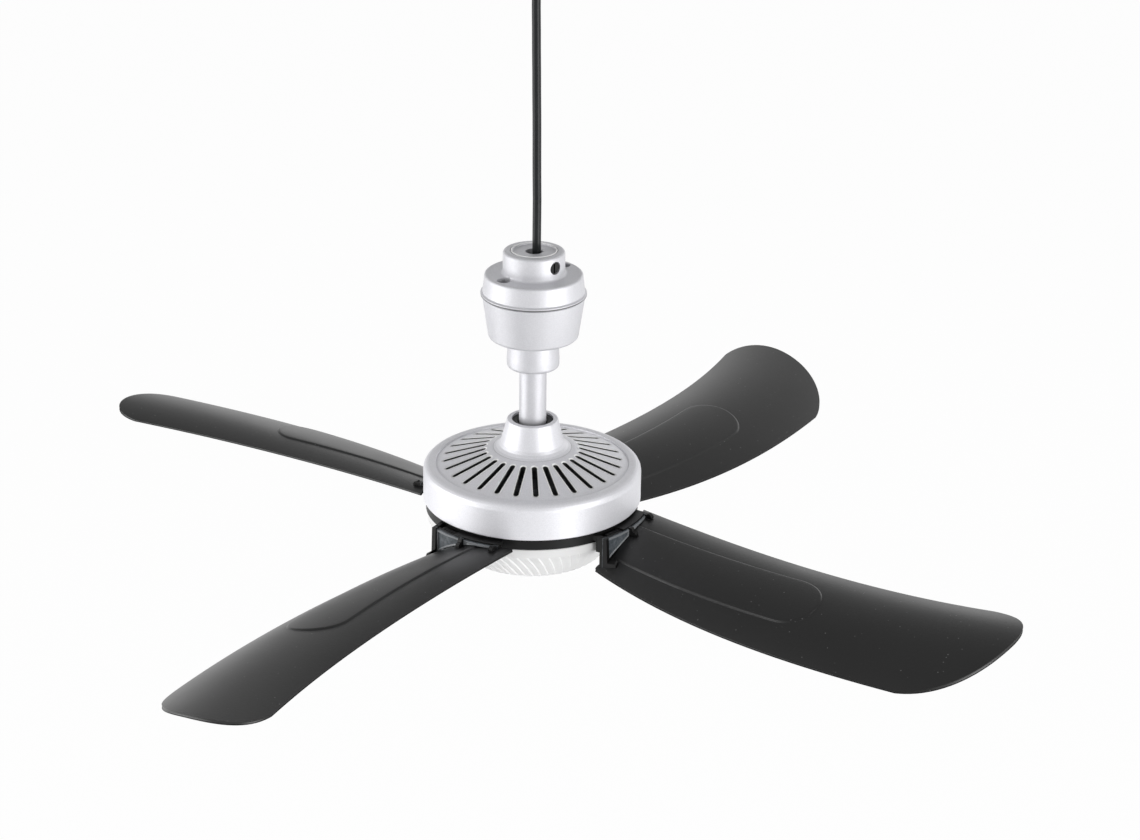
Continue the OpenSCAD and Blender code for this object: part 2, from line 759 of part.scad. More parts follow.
// Motor housing: a drum with a slotted cone for its top and a boss round the rod
module motor_housing() {
    hub_low = upper_bearing_h;
    under = housing_wall;
    foot_r = boss_foot_d / 2;
    top_r = boss_top_d / 2;
    inner_r = housing_r - housing_wall;
    groove_h = bead_h;
    color(silver) translate([0, 0, housing_z]) difference() {
        turned(concat(
            [[housing_r - 0.3, 0], [housing_r, 0.4], [housing_r, housing_side_h]],
            arc([housing_r - housing_edge_r, housing_side_h], housing_edge_r, 0, 90),
            [[cone_out_r + 0.3, housing_top_h], [cone_out_r, cone_h_out], [cone_in_r, cone_h_in]],
            arc([foot_r + boss_fillet, cone_h_in + boss_fillet + seat], boss_fillet, 270, 186),
            arc([top_r - 0.4, boss_top_h - 0.5], 0.5, 10, 90, 3),
            [[seal_out_r, boss_top_h], [seal_out_r, boss_top_h - seal_depth - seal_h],
             [seal_out_r - seal_ledge, boss_top_h - seal_depth - seal_h],
             [seal_out_r - seal_ledge, upper_bearing_h + bearing_w],
             [bearing_r + fit, upper_bearing_h + bearing_w], [bearing_r + fit, hub_low],
             [hub_out_r, hub_low], [hub_out_r, cone_h_in - under],
             [cone_out_r, cone_h_out - under],
             [inner_r - 2, housing_top_h - under], [inner_r, housing_side_h],
             [inner_r, groove_h + 0.8], [inner_r + bead_t + 0.1, groove_h + 0.5],
             [inner_r + bead_t + 0.1, groove_h - 0.5], [inner_r, groove_h - 0.8], [inner_r, 0]]));
        slots();
        rotor_screw_places() translate([0, 0, hub_low - cut]) cylinder(r = small_screw_r + fit, h = 5);
    }
}

module slots() {
    slot_end = slot_w / 2;
    slot_length = slot_out_r - slot_in_r - slot_w;
    for (i = [1 : slot_count])
        rotate([0, 0, slot_phase + i * 360 / slot_count])
            translate([slot_in_r + slot_end, 0, cone_h_out - 2 * housing_wall])
                linear_extrude(cone_rise + 4 * housing_wall) polygon(concat(
                    arc([slot_length, 0], slot_end, -90, 90, 6),
                    arc([0, 0], slot_end, 90, 270, 6)));
}

module dust_seal() {
    color(rubber) translate([0, 0, housing_z + boss_top_h - seal_depth - seal_h]) turned([
        [seal_in_r + 0.6, 0], [seal_out_r - fit, 0], [seal_out_r - fit, seal_h],
        [seal_in_r + 0.9, seal_h], [seal_in_r, seal_h - 0.5], [seal_in_r, seal_h - 1.6],
        [seal_in_r + 0.6, seal_h - 2]]);
}

// Rotor cup: a spun steel cup that carries the magnets and clamps the upper bearing
module rotor_screw_places() {
    for (i = [0 : 2]) rotate([0, 0, i * 120 + 30])
        translate([(bearing_r + hub_out_r) / 2, 0, 0]) children();
}

module rotor_cup() {
    t = rotor_wall;
    color(steel) translate([0, 0, housing_z]) difference() {
        turned([
            [rotor_hub_r, rotor_top_h], [hub_out_r, rotor_top_h],
            [rotor_dish_r, rotor_plate_h], [skirt_r, rotor_plate_h], [skirt_r, rotor_low_h],
            [skirt_r - t, rotor_low_h], [skirt_r - t, rotor_plate_h - t],
            [rotor_dish_r - t, rotor_plate_h - t], [hub_out_r - t, rotor_top_h - t],
            [rotor_hub_r, rotor_top_h - t]]);
        rotor_screw_places() translate([0, 0, rotor_plate_h])
            cylinder(r = small_screw_r + run, h = rotor_top_h - rotor_plate_h + cut);
    }
}

module magnet_ring() {
    top = rotor_plate_h - rotor_wall - fit;
    bottom = rotor_low_h + 0.5;
    color([0.30, 0.30, 0.32]) translate([0, 0, housing_z + bottom])
        tube(magnet_out_r, magnet_in_r, top - bottom);
}

module rotor_screws() {
    head_z = housing_z + rotor_top_h - rotor_wall;
    color(steel) rotor_screw_places() translate([0, 0, head_z]) {
        cylinder(r = small_screw_r, h = rotor_wall + 3.5);
        translate([0, 0, -small_head_h]) cylinder(r = small_head_r, h = small_head_h);
    }
}

// Blade carrier: the black ring that shows, its spigot in the housing and the floor with
// the lower bearing's seat
module blade_carrier() {
    spigot_out = housing_r - housing_wall - 0.1;
    spigot_in = spigot_out - 2;
    floor_top = carrier_floor_h;
    floor_low = floor_top - carrier_floor_t;
    hub_r = bearing_r + 3;
    hub_low = lower_bearing_h - 1.4;
    slant_out = carrier_wall_h - floor_low;
    slant_in = carrier_wall_h + 0.6 - floor_top;
    color(black_gloss) translate([0, 0, housing_z]) difference() {
        turned([
            [spigot_in, carrier_spigot_h], [spigot_out, carrier_spigot_h],
            [spigot_out, bead_h + 0.7], [spigot_out + bead_t, bead_h + 0.3],
            [spigot_out + bead_t, bead_h - 0.3], [spigot_out, bead_h - 0.7], [spigot_out, 0],
            [ring_r, 0], [ring_r, -ring_h], [carrier_out_r, -ring_h],
            [carrier_out_r, carrier_wall_h], [carrier_out_r - slant_out, floor_low],
            [hub_r, floor_low], [hub_r, hub_low], [bearing_r - 1.3, hub_low],
            [bearing_r - 1.3, lower_bearing_h], [bearing_r + fit, lower_bearing_h],
            [bearing_r + fit, floor_top + 1], [hub_r, floor_top + 1], [hub_r, floor_top],
            [carrier_in_r - slant_in, floor_top], [carrier_in_r, carrier_wall_h + 0.6],
            [carrier_in_r, -1]]);
        at_blades() {
            flange_plate(run);
            flange_arm(run);
        }
    }
}

module at_blades() {
    for (i = [0 : blade_count - 1]) rotate([0, 0, i * 360 / blade_count]) children();
}

// Lower cover: a smooth rim over a cone of swirling pleats.
// Each ring of the pleated solid is [radius, height, pleat height, turn in degrees]
function dome_ring(slope) =
    let (r = cone_end_r - dome_edge_r * (sin(cone_slope) - sin(slope)),
         h = rim_low_h - cone_h - dome_edge_r * (cos(slope) - cos(cone_slope)),
         travel = (cone_start_r - r) / (cone_start_r - cone_end_r))
    [r, h, pleat_h * slope / cone_slope, pleat_turn * travel];

function cone_ring(s) =
    [cone_start_r + (cone_end_r - cone_start_r) * s, rim_low_h - cone_h * s, pleat_h, pleat_turn * s];

cover_rings = concat(
    [[cone_start_r, rim_low_h + 1, pleat_h, 0]],
    [for (s = [0, 0.5]) cone_ring(s)],
    [for (i = [0 : dome_steps]) dome_ring(cone_slope * (1 - i / dome_steps))]);
dome_low_h = cover_rings[len(cover_rings) - 1][1];

function pleat_points(ring) =
    [for (i = [0 : pleat_count - 1], crest = [0, 1])
        let (a = (i + crest * pleat_crest) * 360 / pleat_count + ring[3], r = ring[0] + crest * ring[2])
        [r * cos(a), r * sin(a), ring[1]]];

module pleated_solid() {
    n = 2 * pleat_count;
    rows = len(cover_rings);
    points = [for (ring = cover_rings) each pleat_points(ring)];
    walls = [for (j = [0 : rows - 2], k = [0 : n - 1])
        let (a = j * n + k, b = j * n + (k + 1) % n)
        each [[a, b, a + n], [b, b + n, a + n]]];
    top = [for (k = [n - 1 : -1 : 0]) k];
    bottom = [for (k = [0 : n - 1]) (rows - 1) * n + k];
    polyhedron(points, concat(walls, [top, bottom]));
}

module lower_cover() {
    inner_slope = tan(cone_slope);
    inner_low = dome_low_h + cover_wall;
    inner_start = cover_in_r - 0.3;
    inner_cone_h = rim_low_h - inner_low - 0.8;
    color(white) translate([0, 0, housing_z]) difference() {
        union() {
            translate([0, 0, rim_low_h]) cylinder(r = rim_r, h = rim_h);
            pleated_solid();
        }
        turned([
            [0, inner_low], [inner_start - inner_cone_h / inner_slope - 3, inner_low],
            [inner_start - inner_cone_h / inner_slope, inner_low + 0.8],
            [inner_start - 1.2, rim_low_h - cover_wall], [cover_in_r, rim_low_h],
            [cover_in_r, rim_top_h + cut], [0, rim_top_h + cut]]);
    }
}

// Blade leaf. Its section at radius r has its chord, pitch, height and camber from curves
// along the span; w runs from -1 on the trailing edge to 1 on the leading edge.
function span(r) = (r - section_root_r) / (section_tip_r - section_root_r);
function half_chord(r) =
    through_four([chord_root, chord_third, chord_two_thirds, chord_tip], span(r)) / 2;
function middle_y(r) = -through_four([0, trail_third, trail_two_thirds, trail_tip], span(r));
function pitch(r) = through_three([pitch_root, pitch_middle, pitch_tip], span(r));
function middle_z(r) = -through_three([leaf_drop_root, leaf_drop_middle, leaf_drop_tip], span(r));
function camber(r, w) =
    (camber_root + (camber_tip - camber_root) * span(r)) * half_chord(r) * (1 - w * w);
function leaf_y(r, w) = middle_y(r) + half_chord(r) * w * cos(pitch(r)) - camber(r, w) * sin(pitch(r));
function leaf_z(r, w) = middle_z(r) + half_chord(r) * w * sin(pitch(r)) + camber(r, w) * cos(pitch(r));
function leaf_w(r, y, tries = 3) =
    tries == 0 ? (y - middle_y(r)) / (half_chord(r) * cos(pitch(r)))
    : let (w = leaf_w(r, y, tries - 1))
      (y - middle_y(r) + camber(r, w) * sin(pitch(r))) / (half_chord(r) * cos(pitch(r)));
function leaf_thickness(w) = leaf_t - (leaf_t - leaf_edge_t) * pow(w, 4);
function leaf_face(r, w, side) = leaf_z(r, w) + side * leaf_thickness(w) / 2;
function leaf_height(r, y, side) = let (w = leaf_w(r, y)) leaf_face(r, w, side);

function rounded(w, power) = 1 - pow(max(0, 1 - pow(abs(w), power)), 1 / power);
function tip_radius(w) =
    leaf_tip_r * (1 + tip_skew * w + tip_crown * w * w) - tip_corner * rounded(w, tip_power);
function on_circle(r, y) = sqrt(r * r - y * y);
function root_radius(w) =
    on_circle(leaf_root_r, leaf_y(leaf_root_r, w)) + root_corner * rounded(w, root_power);
function row_radius(q, w) =
    q < root_blend_r ? root_radius(w) + (root_blend_r - root_radius(w))
        * (q - leaf_root_r) / (root_blend_r - leaf_root_r)
    : q > tip_blend_r ? tip_blend_r + (tip_radius(w) - tip_blend_r)
        * (q - tip_blend_r) / (leaf_tip_r - tip_blend_r)
    : q;

// Solid between a grid of points above and one below it
module sheet(above, below) {
    rows = len(above);
    columns = len(above[0]);
    n = rows * columns;
    points = concat([for (row = above) each row], [for (row = below) each row]);
    faces = [for (j = [0 : rows - 2], c = [0 : columns - 2])
        let (a = j * columns + c, b = a + 1, d = a + columns, e = d + 1)
        each [[a, b, e], [a, e, d], [n + a, n + e, n + b], [n + a, n + d, n + e]]];
    long_edges = [for (j = [0 : rows - 2], side = [0, columns - 1])
        let (a = j * columns + side, d = a + columns)
        each (side == 0 ? [[a, d, n + d], [a, n + d, n + a]] : [[a, n + d, d], [a, n + a, n + d]])];
    short_edges = [for (row = [0, rows - 1], c = [0 : columns - 2])
        let (a = row * columns + c, b = a + 1)
        each (row == 0 ? [[a, n + b, b], [a, n + a, n + b]] : [[a, b, n + b], [a, n + b, n + a]])];
    polyhedron(points, concat(faces, long_edges, short_edges));
}

function leaf_point(r, w, side, up = 0) = [r, leaf_y(r, w), leaf_face(r, w, side) + up];

leaf_rows = concat(
    [for (s = [0, 0.2, 0.5]) leaf_root_r + (root_blend_r - leaf_root_r) * s],
    [for (i = [0 : 8]) root_blend_r + (tip_blend_r - root_blend_r) * i / 8],
    [for (s = [0.25, 0.5, 0.7, 0.85, 0.95, 1]) tip_blend_r + (leaf_tip_r - tip_blend_r) * s]);
half_columns = [0.1, 0.3, 0.5, 0.68, 0.83, 0.93, 0.985, 1];
leaf_columns = concat([for (i = [len(half_columns) - 1 : -1 : 0]) -half_columns[i]], half_columns);

// Raised panel: straight sides as far as panel_r and a half round end, its foot a little wider
panel_end_angles = [25, 45, 62, 76, 88];
panel_rows = concat(
    [for (i = [0 : 7]) [leaf_root_r + panel_edge + (panel_r - leaf_root_r - panel_edge) * i / 7, 0, 1]],
    [for (a = panel_end_angles) [panel_r, sin(a), cos(a)]]);
function panel_share(r) = (r - leaf_root_r) / (panel_r - leaf_root_r);
function panel_row(row, widen, up) =
    let (q = row[0],
         share = panel_share(q),
         low = panel_low_root + (panel_low_end - panel_low_root) * share,
         high = panel_high_root + (panel_high_end - panel_high_root) * share,
         middle = (low + high) / 2,
         half = (high - low) / 2 + widen / half_chord(q),
         r = q + (panel_end + widen) * row[1])
    [for (c = [-2 : 2]) leaf_point(r, middle + half * row[2] * c / 2, 1, up)];

module leaf() {
    sheet(
        [for (q = leaf_rows) [for (w = leaf_columns) leaf_point(row_radius(q, w), w, 1)]],
        [for (q = leaf_rows) [for (w = leaf_columns) leaf_point(row_radius(q, w), w, -1)]]);
}

module leaf_panel() {
    sheet(
        [for (row = panel_rows) panel_row(row, 0, panel_h)],
        [for (row = panel_rows) panel_row(row, 2 * panel_edge, -panel_h)]);
}

// Turns a piece made for the first blade to the place of another one
module blade_place(number) {
    rotate([0, 0, (number - 1) * 360 / blade_count]) translate([0, 0, housing_z]) children();
}

module blade(number) {
    color(black_leaf) blade_place(number) {
        leaf();
        leaf_panel();
    }
}

// Flange of a bracket: a plate that lies in the carrier ring with a thin roof out to the front
// wall, and an arm at its trailing end. Widened by a clearance, both cut their recesses.
module flange_part(out_r, from, to, gap) {
    low = flange_top - flange_t - gap;
    high = flange_top + gap;
    in_r = flange_in_r - gap;
    edge_r = web_in_r + bite;
    intersection() {
        turned([[in_r, low], [edge_r, low], [edge_r, flange_top - flange_roof],
            [out_r, flange_top - flange_roof], [out_r, high], [in_r, high]]);
        translate([ring_r / 2, from - gap, low - cut])
            cube([ring_r, to - from + 2 * gap, flange_t + 3 * cut]);
    }
}

module flange_plate(gap) {
    flange_part(wall_out_r - 0.3, flange_from, claw_lead + claw_w / 2 - 0.2, gap);
}

module flange_arm(gap) {
    flange_part(wall_in_r + bite, 0.1 - claw_trail - claw_w / 2, claw_w / 2 - 0.1 - claw_trail, gap);
}

// Curved upright strip between two radii, from a fixed top down to a height over the leaf
module curtain(r_in, r_out, from, to, top, side, over) {
    steps = 8;
    start = asin(from / r_out);
    end = asin(to / r_out);
    angles = [for (i = [0 : steps]) start + (end - start) * i / steps];
    sheet(
        [for (r = [r_in, r_out]) [for (a = angles) [r * cos(a), r * sin(a), top]]],
        [for (r = [r_in, r_out]) [for (a = angles)
            let (x = r * cos(a), y = r * sin(a)) [x, y, min(top - 0.5, leaf_height(x, y, side) + over)]]]);
}

// Tongue: a strip that follows the underside of the leaf
module tongue() {
    steps = 8;
    top = -leaf_gap;
    from = web_from - 0.2;
    to = claw_lead;
    grid = [for (r = [web_in_r, leaf_root_r, leaf_root_r + tongue_reach / 2, leaf_root_r + tongue_reach])
        [for (i = [0 : steps]) let (y = from + (to - from) * i / steps) [on_circle(r, y), y]]];
    sheet(
        [for (row = grid) [for (q = row) [q[0], q[1], leaf_height(q[0], q[1], -1) + top]]],
        [for (row = grid) [for (q = row) [q[0], q[1], leaf_height(q[0], q[1], -1) + top - tongue_t]]]);
}

// Claw: an upright rib across the front wall with a foot that lies on the leaf
module claw(y, reach) {
    post_r = on_circle(wall_out_r + claw_proud, y);
    w = leaf_w(post_r, y);
    on_panel = w > panel_low_root && w < panel_high_root;
    over = leaf_gap + (on_panel ? panel_h : 0);
    rows = [post_r - claw_depth, post_r, post_r + 0.5, post_r + reach - 0.6, post_r + reach];
    tops = [0, 0, foot_t + 0.3, foot_t, 0.5 * foot_t];
    sides = [y - claw_w / 2, y, y + claw_w / 2];
    sheet(
        [for (i = [0 : 4]) [for (v = sides)
            [rows[i], v, i < 2 ? wall_top + 0.3 : leaf_height(rows[i], v, 1) + over + tops[i]]]],
        [for (x = rows) [for (v = sides) [x, v, leaf_height(x, v, 1) + over]]]);
}

module blade_bracket(number) {
    tab_w = claw_w - 0.6;
    tab_x = on_circle(web_in_r, claw_trail) - 0.2;
    color(black_gloss) blade_place(number) {
        flange_plate(0);
        flange_arm(0);
        curtain(web_in_r, web_out_r, web_from, claw_lead, flange_top - 0.4, -1, -leaf_gap - tongue_t / 2);
        curtain(wall_in_r, wall_out_r, -claw_trail, claw_lead, wall_top, 1, leaf_gap + panel_h);
        tongue();
        for (c = claws) claw(c[0], c[1]);
        translate([tab_x, -claw_trail - tab_w / 2, tab_low])
            cube([1.8, tab_w, flange_top - flange_t / 2 - tab_low]);
    }
}

module blade_bracket_1() { blade_bracket(1); }
module blade_bracket_2() { blade_bracket(2); }
module blade_bracket_3() { blade_bracket(3); }
module blade_bracket_4() { blade_bracket(4); }
module blade_1() { blade(1); }
module blade_2() { blade(2); }
module blade_3() { blade(3); }
module blade_4() { blade(4); }

hanging_hook();
hook_jam_nut();
cord_grip_body();
grip_collet();
cord_grip_nut();
cord();
neck_insert();
neck_set_screw();
cord_stop();
canopy_top();
canopy_cup();
canopy_screws();
terminal_block();
rod_washer();
rod_lock_nut();
down_rod();
upper_bearing_inner_race();
lower_bearing_inner_race();
upper_spacer();
lower_spacer();
stator_hub();
stator_core();
stator_windings();
circuit_board();
axle_circlip();
motor_housing();
dust_seal();
upper_bearing_outer_race();
lower_bearing_outer_race();
upper_bearing_balls();
lower_bearing_balls();
rotor_cup();
magnet_ring();
rotor_screws();
blade_carrier();
lower_cover();
blade_bracket_1();
blade_bracket_2();
blade_bracket_3();
blade_bracket_4();
blade_1();
blade_2();
blade_3();
blade_4();
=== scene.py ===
import json
from math import asin, atan2, cos, pi, radians, sin, sqrt

import bpy
from mathutils import Matrix, Vector


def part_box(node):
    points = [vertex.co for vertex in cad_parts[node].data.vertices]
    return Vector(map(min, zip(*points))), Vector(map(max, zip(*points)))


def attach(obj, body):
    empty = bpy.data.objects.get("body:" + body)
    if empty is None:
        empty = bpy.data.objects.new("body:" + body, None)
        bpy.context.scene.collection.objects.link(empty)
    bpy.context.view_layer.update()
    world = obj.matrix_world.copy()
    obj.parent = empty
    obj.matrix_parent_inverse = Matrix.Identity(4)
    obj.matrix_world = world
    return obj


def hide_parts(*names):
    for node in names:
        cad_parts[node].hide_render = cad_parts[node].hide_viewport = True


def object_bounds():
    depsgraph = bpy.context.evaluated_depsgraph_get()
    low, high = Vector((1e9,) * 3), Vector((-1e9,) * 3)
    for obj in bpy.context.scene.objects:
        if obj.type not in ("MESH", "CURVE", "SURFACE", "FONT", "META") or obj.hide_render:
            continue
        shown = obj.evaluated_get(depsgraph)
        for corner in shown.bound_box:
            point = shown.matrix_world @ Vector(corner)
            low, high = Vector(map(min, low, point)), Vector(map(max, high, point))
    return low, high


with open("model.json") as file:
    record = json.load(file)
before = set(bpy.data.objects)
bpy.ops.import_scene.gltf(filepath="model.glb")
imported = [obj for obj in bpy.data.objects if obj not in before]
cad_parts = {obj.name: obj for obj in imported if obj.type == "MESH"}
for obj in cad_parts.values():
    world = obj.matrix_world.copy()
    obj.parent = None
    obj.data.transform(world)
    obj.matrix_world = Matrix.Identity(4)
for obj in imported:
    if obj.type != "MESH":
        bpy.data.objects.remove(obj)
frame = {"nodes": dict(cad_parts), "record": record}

cad_box = [list(corner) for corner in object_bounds()]
nodes = frame["nodes"]
MM = 0.001

# Heights that the frame gives, in metres
HOUSING_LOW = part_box("motor_housing")[0][2]
SEAM_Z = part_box("canopy_top")[0][2]
NECK_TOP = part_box("canopy_top")[1][2]

# Outer radius of the brackets' front walls
WALL_OUT = 45.4

# The housing's slotted cone: its height at the axis over the housing's lower edge, how much it falls
# for each step outwards, and the radius where it ends
CONE_TOP = 25.4
CONE_FALL = 0.3163
CONE_OUT = 36.5

# The cone's slots: their number, the angle of one, their width and the radii of their ends
SLOT_COUNT = 28
SLOT_PHASE = radians(-55.2)
SLOT_W = 2.05
SLOT_ENDS = (17.8, 34.3)


def turned(x, y, angle):
    """x and y turned about the fan's axis."""
    return x * cos(angle) - y * sin(angle), x * sin(angle) + y * cos(angle)


def new_object(name, data):
    """A new object in the scene, made from its data."""
    made = bpy.data.objects.new(name, data)
    bpy.context.scene.collection.objects.link(made)
    return made


# ---------------------------------------------------------------- camera

# The camera that was fitted to the photograph: the picture's width, the focal length, the angles, and in
# metres the distance and the point that it aims at, beside the axis and above the housing's lower edge
IMAGE_WIDTH = 1140
FOCAL_PIXELS = 2690
SENSOR_MM = 36
CAMERA_AZIMUTH = radians(32.23)
CAMERA_ELEVATION = radians(22.69)
CAMERA_ROLL = radians(-0.52)
CAMERA_DISTANCE = 1.0289
AIM_SIDE = 0.35 * MM
AIM_ABOVE_HOUSING = 31.06 * MM
AXIS_LEFT_OF_CENTRE_PIXELS = 36.5
AIM_BELOW_CENTRE_PIXELS = 0.7


def make_camera():
    """The camera, placed by its angles and its distance from the point that it aims at."""
    az, el, roll = CAMERA_AZIMUTH, CAMERA_ELEVATION, CAMERA_ROLL
    right = Vector((cos(az), sin(az), 0))
    back = Vector((sin(az) * cos(el), -cos(az) * cos(el), sin(el)))
    up = back.cross(right)
    aim = right * AIM_SIDE + Vector((0, 0, HOUSING_LOW + AIM_ABOVE_HOUSING))
    data = bpy.data.cameras.new("camera")
    data.sensor_width = SENSOR_MM
    data.lens = FOCAL_PIXELS / IMAGE_WIDTH * SENSOR_MM
    data.shift_x = AXIS_LEFT_OF_CENTRE_PIXELS / IMAGE_WIDTH
    data.shift_y = AIM_BELOW_CENTRE_PIXELS / IMAGE_WIDTH
    camera = new_object("camera", data)
    rolled_right = cos(roll) * right - sin(roll) * up
    rolled_up = sin(roll) * right + cos(roll) * up
    matrix = Matrix((rolled_right, rolled_up, back)).transposed().to_4x4()
    matrix.translation = aim + back * CAMERA_DISTANCE
    camera.matrix_world = matrix
    bpy.context.scene.camera = camera


# ---------------------------------------------------------------- node trees

# The roughness of every noise, and the range in which nearly all its values lie
NOISE_ROUGHNESS = 0.55
NOISE_LOW = 0.3
NOISE_HIGH = 0.7


class NodeTree:
    """A node tree, and short ways to add nodes to it. Most of them return an output socket."""

    def __init__(self, tree):
        self.tree = tree

    def link(self, socket, into):
        """Joins an output to an input."""
        self.tree.links.new(socket, into)

    def add(self, kind, inputs=None, **settings):
        """Adds a node with its settings. An input is a value, or a socket to link from."""
        node = self.tree.nodes.new(kind)
        for key, value in settings.items():
            setattr(node, key, value)
        for key, value in (inputs or {}).items():
            if isinstance(value, bpy.types.NodeSocket):
                self.link(value, node.inputs[key])
            else:
                node.inputs[key].default_value = value
        return node

    def maths(self, operation, *values):
        """The result of an operation on values, each a number or a socket."""
        return self.add("ShaderNodeMath", dict(enumerate(values)), operation=operation).outputs[0]

    def ramp(self, value, stops):
        """A colour by value, from stops of a position and a colour."""
        node = self.add("ShaderNodeValToRGB", {"Fac": value})
        while len(node.color_ramp.elements) < len(stops):
            node.color_ramp.elements.new(0.5)
        for element, (position, colour) in zip(node.color_ramp.elements, stops):
            element.position = position
            element.color = (*colour, 1)
        return node.outputs["Color"]

    def span(self, value, low, high, to_low, to_high):
        """The value's range from low to high, turned into a range from to_low to to_high."""
        return self.add("ShaderNodeMapRange", {
            "Value": value, "From Min": low, "From Max": high,
            "To Min": to_low, "To Max": to_high}).outputs["Result"]

    def seen_directly(self):
        """1 for the rays that show the surroundings: camera, glossy and transmission rays."""
        rays = self.add("ShaderNodeLightPath").outputs
        share = rays["Is Camera Ray"]
        for name in ("Is Glossy Ray", "Is Transmission Ray"):
            share = self.maths("MAXIMUM", share, rays[name])
        return share


class Shader(NodeTree):
    """A new material with a Principled shader, and what the recipes do with it."""

    def __init__(self, name, colour, roughness, metallic=0.0, specular=0.5):
        self.material = bpy.data.materials.new(name)
        self.material.use_nodes = True
        super().__init__(self.material.node_tree)
        self.shader = self.tree.nodes["Principled BSDF"]
        self.shader.inputs["Base Color"].default_value = (*colour, 1)
        self.shader.inputs["Roughness"].default_value = roughness
        self.shader.inputs["Metallic"].default_value = metallic
        self.shader.inputs["Specular IOR Level"].default_value = specular
        self.place = self.add("ShaderNodeTexCoord").outputs["Object"]
        self.bumped = None

    def axes(self):
        """The sockets of the place's x, y and z."""
        split = self.add("ShaderNodeSeparateXYZ", {0: self.place})
        return split.outputs["X"], split.outputs["Y"], split.outputs["Z"]

    def length(self, x, y):
        """The distance that x and y make together."""
        flat = self.add("ShaderNodeCombineXYZ", {"X": x, "Y": y}).outputs[0]
        return self.add("ShaderNodeVectorMath", {0: flat}, operation="LENGTH").outputs["Value"]

    def near(self, value, middle, solid, faded, most=1.0):
        """A share that is at its most within solid of the middle, and 0 from faded on."""
        off = self.maths("ABSOLUTE", self.maths("SUBTRACT", value, middle))
        return self.span(off, solid, faded, most, 0.0)

    def noise(self, scale, detail=3.0, stretch=None):
        """A cloud texture, finer or coarser along an axis where it is stretched."""
        place = self.place
        if stretch:
            place = self.add("ShaderNodeMapping", {"Vector": place, "Scale": stretch}).outputs[0]
        return self.add("ShaderNodeTexNoise", {
            "Vector": place, "Scale": scale, "Detail": detail,
            "Roughness": NOISE_ROUGHNESS}).outputs["Fac"]

    def between(self, noise, least, most):
        """A value from least to most, over the usual range of a noise."""
        return self.span(noise, NOISE_LOW, NOISE_HIGH, least, most)

    def tones(self, noise, dark, light):
        """A colour from dark to light, over the usual range of a noise."""
        return self.ramp(noise, [(NOISE_LOW, dark), (NOISE_HIGH, light)])

    def blend(self, share, under, over):
        """The colour under, with the colour over laid on it by its share. A colour is a socket or plain."""
        inputs = {"Factor": share}
        for key, value in (("A", under), ("B", over)):
            inputs[key] = (*value, 1) if isinstance(value, tuple) else value
        return self.add("ShaderNodeMix", inputs, data_type="RGBA").outputs["Result"]

    def feed(self, name, socket):
        """Gives the shader's input of that name its values from a socket."""
        self.link(socket, self.shader.inputs[name])

    def bump(self, height, depth, strength):
        """A bump of some depth, on top of the bumps before it."""
        inputs = {"Height": height, "Distance": depth, "Strength": strength}
        if self.bumped:
            inputs["Normal"] = self.bumped
        self.bumped = self.add("ShaderNodeBump", inputs).outputs["Normal"]
        self.feed("Normal", self.bumped)


def grey(value, tint=0.0):
    """A grey that leans to blue by tint."""
    return (value * (1 - tint), value, value * (1 + tint))


def bluish(value):
    """A grey with a little more blue."""
    return (value, value, value * 1.045)


# Painted shade and highlight round the slots: the depths under the cone's skin at which the painted shade
# begins and is full, how far past a slot's edge the rim's painted highlight is full and ends, where the
# edge's roll begins and ends, its height, and over how much of the cone's outer end the painted shade fades
SLOT_DARK = (0.2, 0.32)
SLOT_RIM = (0.38, 0.55)
SLOT_ROLL = (-0.1, 0.5)
SLOT_ROLL_H = 0.8
CONE_FADE = 0.5


def in_the_slots(s):
    """Two shares on the housing: painted shade in its slots below the skin, and a painted highlight on their
    walls and rims. It also rolls the slots' edges by a bump."""
    x, y, z = s.axes()
    r = s.length(x, y)
    skin = s.maths("MULTIPLY_ADD", r, -CONE_FALL, CONE_TOP * MM + HOUSING_LOW)
    depth = s.maths("SUBTRACT", skin, z)
    # Painted shade below the skin, where the slots lie in shade
    dark = s.span(depth, SLOT_DARK[0] * MM, SLOT_DARK[1] * MM, 0.0, 1.0)
    within = s.span(r, (CONE_OUT - CONE_FADE) * MM, CONE_OUT * MM, 1.0, 0.0)

    # Distance to the middle line of the nearest slot, between the centres of its round ends
    turn = s.maths("SUBTRACT", s.maths("ARCTAN2", y, x), SLOT_PHASE)
    turn = s.maths("WRAP", turn, pi / SLOT_COUNT, -pi / SLOT_COUNT)
    out = s.maths("MULTIPLY", r, s.maths("COSINE", turn))
    side = s.maths("MULTIPLY", r, s.maths("SINE", turn))
    half = SLOT_W / 2
    beyond = s.maths("MAXIMUM", s.maths("SUBTRACT", (SLOT_ENDS[0] + half) * MM, out),
                     s.maths("SUBTRACT", out, (SLOT_ENDS[1] - half) * MM))
    off = s.length(side, s.maths("MAXIMUM", beyond, 0.0))
    # Painted highlight on the slots' walls and a band of rim round each slot
    rim = s.span(off, (half + SLOT_RIM[0]) * MM, (half + SLOT_RIM[1]) * MM, 1.0, 0.0)
    roll = s.span(off, (half + SLOT_ROLL[0]) * MM, (half + SLOT_ROLL[1]) * MM, 0.0, SLOT_ROLL_H * MM)
    s.bump(roll, depth=1.0, strength=1.0)
    return s.maths("MULTIPLY", dark, within), rim


# The painted shade over the canopy's seam, a dark line: its height over the seam, where it is full and where
# it ends to both sides, and its share
SEAM_MIDDLE = 0.3
SEAM_SOLID = 0.2
SEAM_FADED = 0.4
SEAM_SHARE = 0.85


def seam_painted_shade(s):
    """The share of painted shade on the canopy's lip over its seam, and no painted highlight."""
    height = s.axes()[2]
    middle = SEAM_Z + SEAM_MIDDLE * MM
    return s.near(height, middle, SEAM_SOLID * MM, SEAM_FADED * MM, SEAM_SHARE), None


